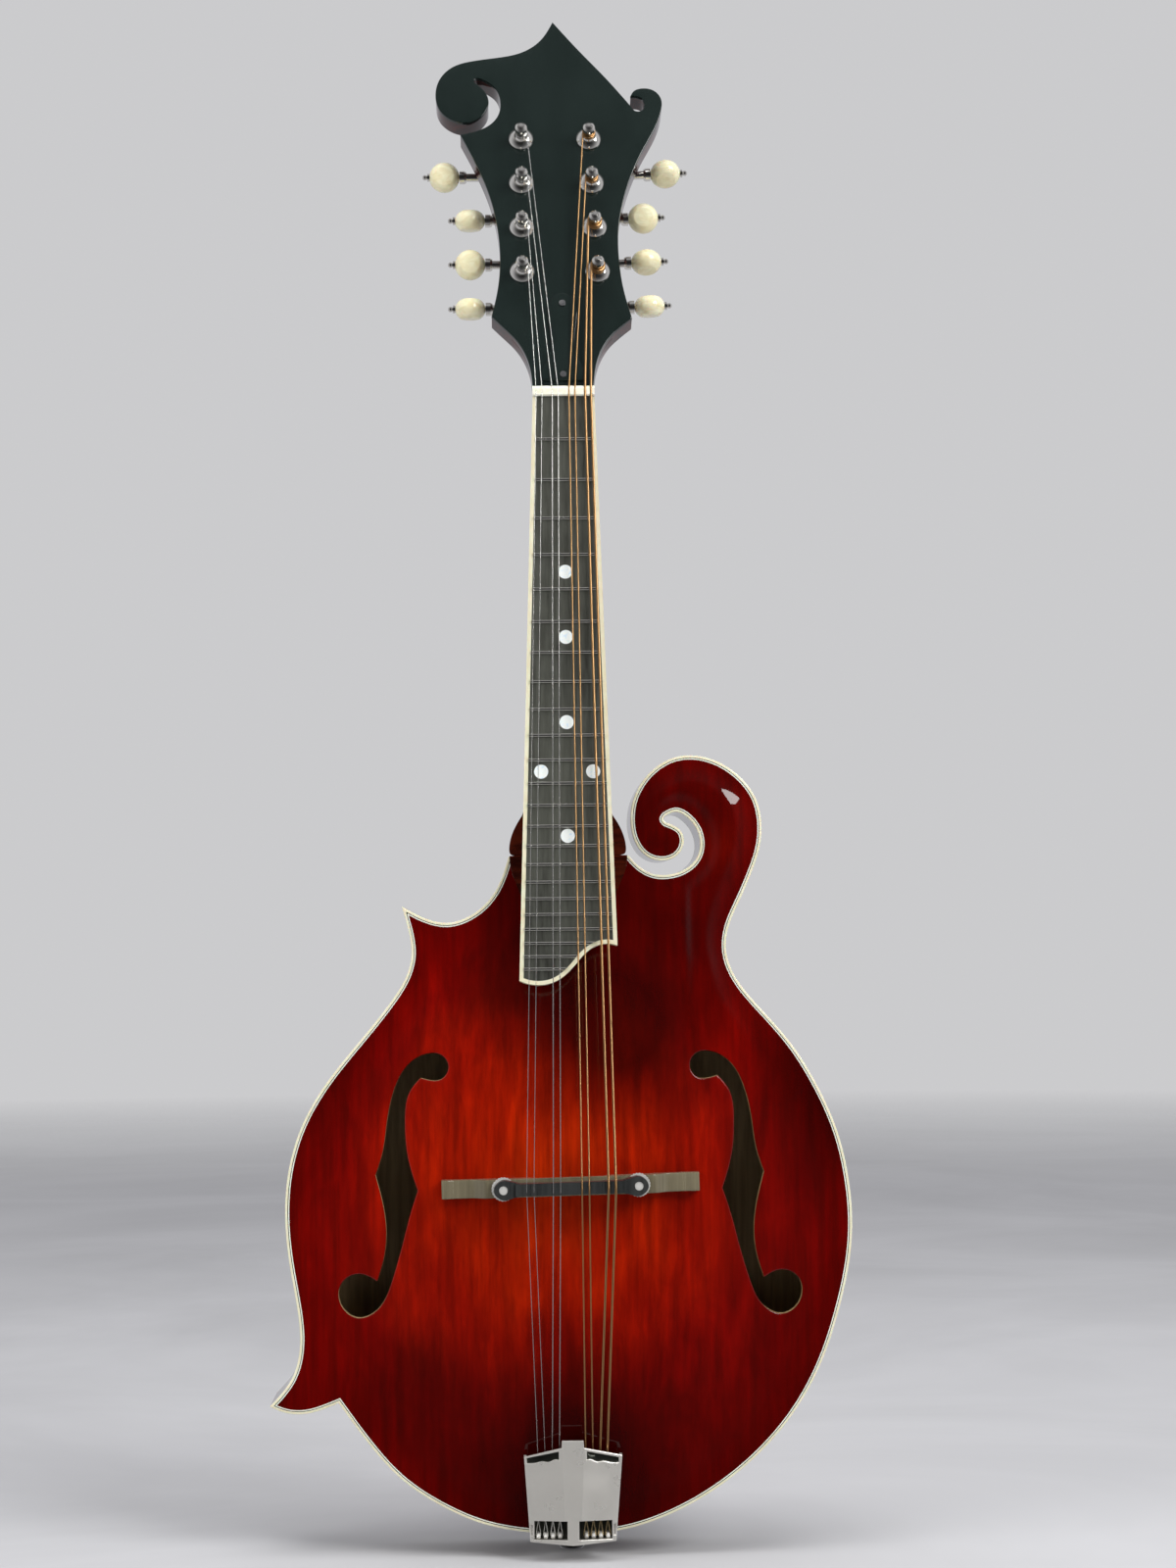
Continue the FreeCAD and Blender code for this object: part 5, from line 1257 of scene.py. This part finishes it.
def make_tail_walls():
    """The sides folded back from the cover, the dark sheets of painted shade behind its slots and
    windows, and the hooks.
    """
    walls = []
    for (x0, z0), (x1, z1) in [(TAIL_OUTLINE[8], TAIL_OUTLINE[0]), (TAIL_OUTLINE[0], TAIL_OUTLINE[1]),
                               (TAIL_OUTLINE[1], TAIL_OUTLINE[2]), (TAIL_OUTLINE[2], TAIL_OUTLINE[3])]:
        a = Vector((x0, 0, z0))
        b = Vector((x1, 0, z1))
        inward = Vector((a.z - b.z, 0, b.x - a.x)).normalized() * TAIL_SHEET
        wall = Shell()
        front_a = float(tail_roof(np.array([x0]), np.array([z0]))[0]) + 0.35
        front_b = float(tail_roof(np.array([x1]), np.array([z1]))[0]) + 0.35
        rows = []
        for at, front in ((a, front_a), (b, front_b)):
            near, far = Vector((at.x, front, at.z)), Vector((at.x, -31.5, at.z))
            rows.append([near, far, far + inward, near + inward])
        wall.strips(rows)
        wall.cap(rows[0])
        wall.cap(rows[1])
        walls.append(wall)
    leg = box_loop(-15, 15, 0, 40.6, 2.0)
    turned = Matrix(((1, 0, 0, 0), (0, 0, 1, -31.6), (0, 1, 0, TAIL_SEAT), (0, 0, 0, 1)))
    walls.append(placed(slab([leg], level(0), level(1.6), 0.3, 0.3, 4.0), turned))
    make_piece("tailpiece_sides", merged(walls), satin_nickel, sharp=30, stands_for=("tailpiece",))
    # Painted shade: dark sheets behind the top slots, and one behind the windows, stand for the shade
    # inside the cover.
    shade_sheets = []
    for s in (-1, 1):
        corners = [(s * 5.7, 42.4), (s * 20.4, 42.4), (s * 20.9, 45.9), (s * 5.7, 49.6)]
        loop = outline([[a, b] for a, b in zip(corners, corners[1:] + corners[:1])])
        shade_sheets.append(folded(slab([loop], level(0), level(0.4), 0.1, 0.1, 2.0), [],
                             lambda x, z: tail_roof(x, z) + TAIL_SHEET + 0.1))
    shade_sheets.append(slab([box_loop(-17.9, 17.9, 9.4, 21.5, 2.0)], level(-32.3), level(-31.7), 0.1,
                       0.1, 4.0))
    make_piece("tailpiece_painted_shade_sheets", merged(shade_sheets), painted_shade_nickel, sharp=30,
               stands_for=("tailpiece",))
    hooks = []
    for x in TAIL_X:
        path = [Vector((x, -32.2, HOOK_HEIGHT)), Vector((x, HOOK_DEPTH - 2.6, HOOK_HEIGHT)),
                Vector((x, HOOK_DEPTH - 3.4, HOOK_HEIGHT - 1.0))]
        hooks.append(tube_along(bent(path, 0.6), HOOK_RADIUS, 12))
    make_piece("tailpiece_hooks", merged(hooks), bright_nickel, sharp=50, stands_for=("tailpiece",))


# ---------------------------------------------------------------- stage, light and camera


FLOOR_RADIUS = 5.0
FLOOR_FADE = 2.2  # where the floor starts to fade into the air behind it
STAGE_COLOUR = (0.598, 0.598, 0.61)


def make_stage():
    """A pale floor that fades into the backdrop's colour far from the object."""
    n = Nodes("pale_floor")
    cloud = n.noise(n.coordinates, 2.2, 5.0, 0.62, 0.6)
    tint = n.mix(n.spread(cloud, 0.35, 0.68, 0.0, 1.0), STAGE_COLOUR,
                 tuple(0.86 * c for c in STAGE_COLOUR))
    n.finish(tint, 0.9)
    distance = n.new("ShaderNodeVectorMath", operation="LENGTH")
    n.join(n.coordinates, distance.inputs[0])
    fade = n.spread(distance.outputs["Value"], FLOOR_FADE, 0.9 * FLOOR_RADIUS, 1.0, 0.0)
    n.join(fade, n.shader.inputs["Alpha"])
    shell = Shell()
    shell.cap([(x, z, 0) for x, z in circle_loop(0, 0, FLOOR_RADIUS, 96)])
    mesh = bpy.data.meshes.new("floor")
    mesh.from_pydata(shell.points, [], shell.faces)
    mesh.materials.append(n.material)
    floor = add_object("floor", mesh)
    floor.visible_glossy = False  # the lacquer mirrors the air in front of it, not the floor


def make_light(name, at, target, width, height, watts, mirrored=True):
    light = bpy.data.lights.new(name, "AREA")
    light.shape = "RECTANGLE"
    light.size = width
    light.size_y = height
    light.energy = watts
    lamp = bpy.data.objects.new(name, light)
    lamp.visible_glossy = mirrored
    lamp.location = at
    lamp.rotation_euler = (Vector(target) - Vector(at)).to_track_quat("-Z", "Y").to_euler()
    bpy.context.scene.collection.objects.link(lamp)


def make_world():
    """Even studio air: pale behind the object, brighter to the sides than from the front."""
    world = bpy.data.worlds.new("studio_air")
    world.use_nodes = True
    tree = world.node_tree
    where = tree.nodes.new("ShaderNodeTexCoord")
    parts = tree.nodes.new("ShaderNodeSeparateXYZ")
    tree.links.new(where.outputs["Generated"], parts.inputs["Vector"])
    band = tree.nodes.new("ShaderNodeMapRange")
    band.interpolation_type = "SMOOTHSTEP"
    for key, value in (("From Min", -1.0), ("From Max", -0.05), ("To Min", 0.016), ("To Max", 0.55)):
        band.inputs[key].default_value = value
    tree.links.new(parts.outputs["Y"], band.inputs["Value"])
    light = tree.nodes["Background"]
    light.inputs["Color"].default_value = (0.95, 0.95, 1.0, 1)
    tree.links.new(band.outputs["Result"], light.inputs["Strength"])
    seen = tree.nodes.new("ShaderNodeBackground")
    seen.inputs["Color"].default_value = (*STAGE_COLOUR, 1)
    rays = tree.nodes.new("ShaderNodeLightPath")
    choose = tree.nodes.new("ShaderNodeMixShader")
    tree.links.new(rays.outputs["Is Camera Ray"], choose.inputs["Fac"])
    tree.links.new(light.outputs["Background"], choose.inputs[1])
    tree.links.new(seen.outputs["Background"], choose.inputs[2])
    tree.links.new(choose.outputs["Shader"], tree.nodes["World Output"].inputs["Surface"])
    bpy.context.scene.world = world


CAMERA_AT = Vector((-28.40, -1558.73, 276.85)) * MM
CAMERA_YAW = math.radians(1.42)
CAMERA_PITCH = math.radians(2.54)
CAMERA_ROLL = math.radians(-0.491)
CAMERA_LENS = 78.3
SENSOR = 36.0


def make_camera():
    """The photograph's viewpoint."""
    camera = bpy.data.cameras.new("camera")
    camera.sensor_fit = "AUTO"
    camera.sensor_width = SENSOR
    camera.lens = CAMERA_LENS
    camera.clip_start = 0.05
    camera.clip_end = 50.0
    holder = bpy.data.objects.new("camera", camera)
    ahead = Vector((math.sin(CAMERA_YAW) * math.cos(CAMERA_PITCH),
                    math.cos(CAMERA_YAW) * math.cos(CAMERA_PITCH), math.sin(CAMERA_PITCH)))
    right = Vector((math.cos(CAMERA_YAW), -math.sin(CAMERA_YAW), 0))
    up = right.cross(ahead)
    rolled_right = right * math.cos(CAMERA_ROLL) + up * math.sin(CAMERA_ROLL)
    rolled_up = up * math.cos(CAMERA_ROLL) - right * math.sin(CAMERA_ROLL)
    turn = Matrix((rolled_right, rolled_up, -ahead)).transposed().to_4x4()
    holder.matrix_world = Matrix.Translation(CAMERA_AT) @ turn
    bpy.context.scene.collection.objects.link(holder)
    bpy.context.scene.camera = holder


# ---------------------------------------------------------------- build

NODE_MATERIALS = {
    "tail_block": inside_wood, "head_block": inside_wood, "scroll_and_point_blocks": inside_wood,
    "linings": inside_wood, "tone_bars": inside_wood, "neck": neck_lacquer,
    "headstock_veneer": head_gloss, "fingerboard": ebony, "fingerboard_binding": cream,
    "fingerboard_dots": shell_inlay, "frets": fret_silver, "nut": bone, "truss_rod": steel,
    "truss_rod_nut": steel, "truss_rod_cover": black_gloss, "truss_cover_screws": steel,
    "fingerboard_support": neck_lacquer, "bridge_base": ebony_bridge, "bridge_posts": bright_nickel,
    "thumbwheel_treble": bright_nickel, "thumbwheel_bass": bright_nickel, "bridge_saddle": ebony_bridge,
    "tailpiece": satin_nickel, "tailpiece_screws": nickel, "end_pin": black_gloss,
    "plain_strings": string_steel, "wound_strings": string_bronze, "tuner_plate_left": nickel,
    "tuner_plate_right": nickel, "tuner_plate_screws": nickel, "post_bushings": nickel,
}
for side in ("left", "right"):
    for number in range(1, 5):
        NODE_MATERIALS[f"knob_{side}{number}"] = button_pearl
        NODE_MATERIALS[f"worm_shaft_{side}{number}"] = nickel
        NODE_MATERIALS[f"string_post_{side}{number}"] = nickel

for name, material in NODE_MATERIALS.items():
    node = nodes[name]
    node.data.materials.clear()
    node.data.materials.append(material)

make_plate("top_plate", TOP_RISE, -1, hole_loops, top_lacquer)
make_plate("back_plate", BACK_RISE, 1, [], back_lacquer)
make_binding("top_binding", -1)
make_binding("back_binding", 1)
make_ribs()
make_headstock()
make_neck()
make_strings()
refined("nut", 0.25, bone)
refined("fingerboard_support", 0.7, neck_lacquer)
make_bridge_base()
make_tailpiece()
refined("bridge_saddle", 0.3, ebony_bridge, "saddle")
refined("tuner_plate_left", 0.2, nickel)
refined("tuner_plate_right", 0.2, nickel)

make_stage()
make_world()
make_light("window", (1.5, -1.6, 1.6), (0, 0, 0.3), 1.2, 1.2, 45)
make_light("fill", (-1.8, -1.3, 1.0), (0, 0, 0.3), 1.4, 1.6, 22, mirrored=False)
make_light("above", (0.0, -0.4, 2.0), (0, 0, 0.3), 1.4, 0.8, 16, mirrored=False)
make_camera()
bpy.context.scene.view_settings.view_transform = "Standard"
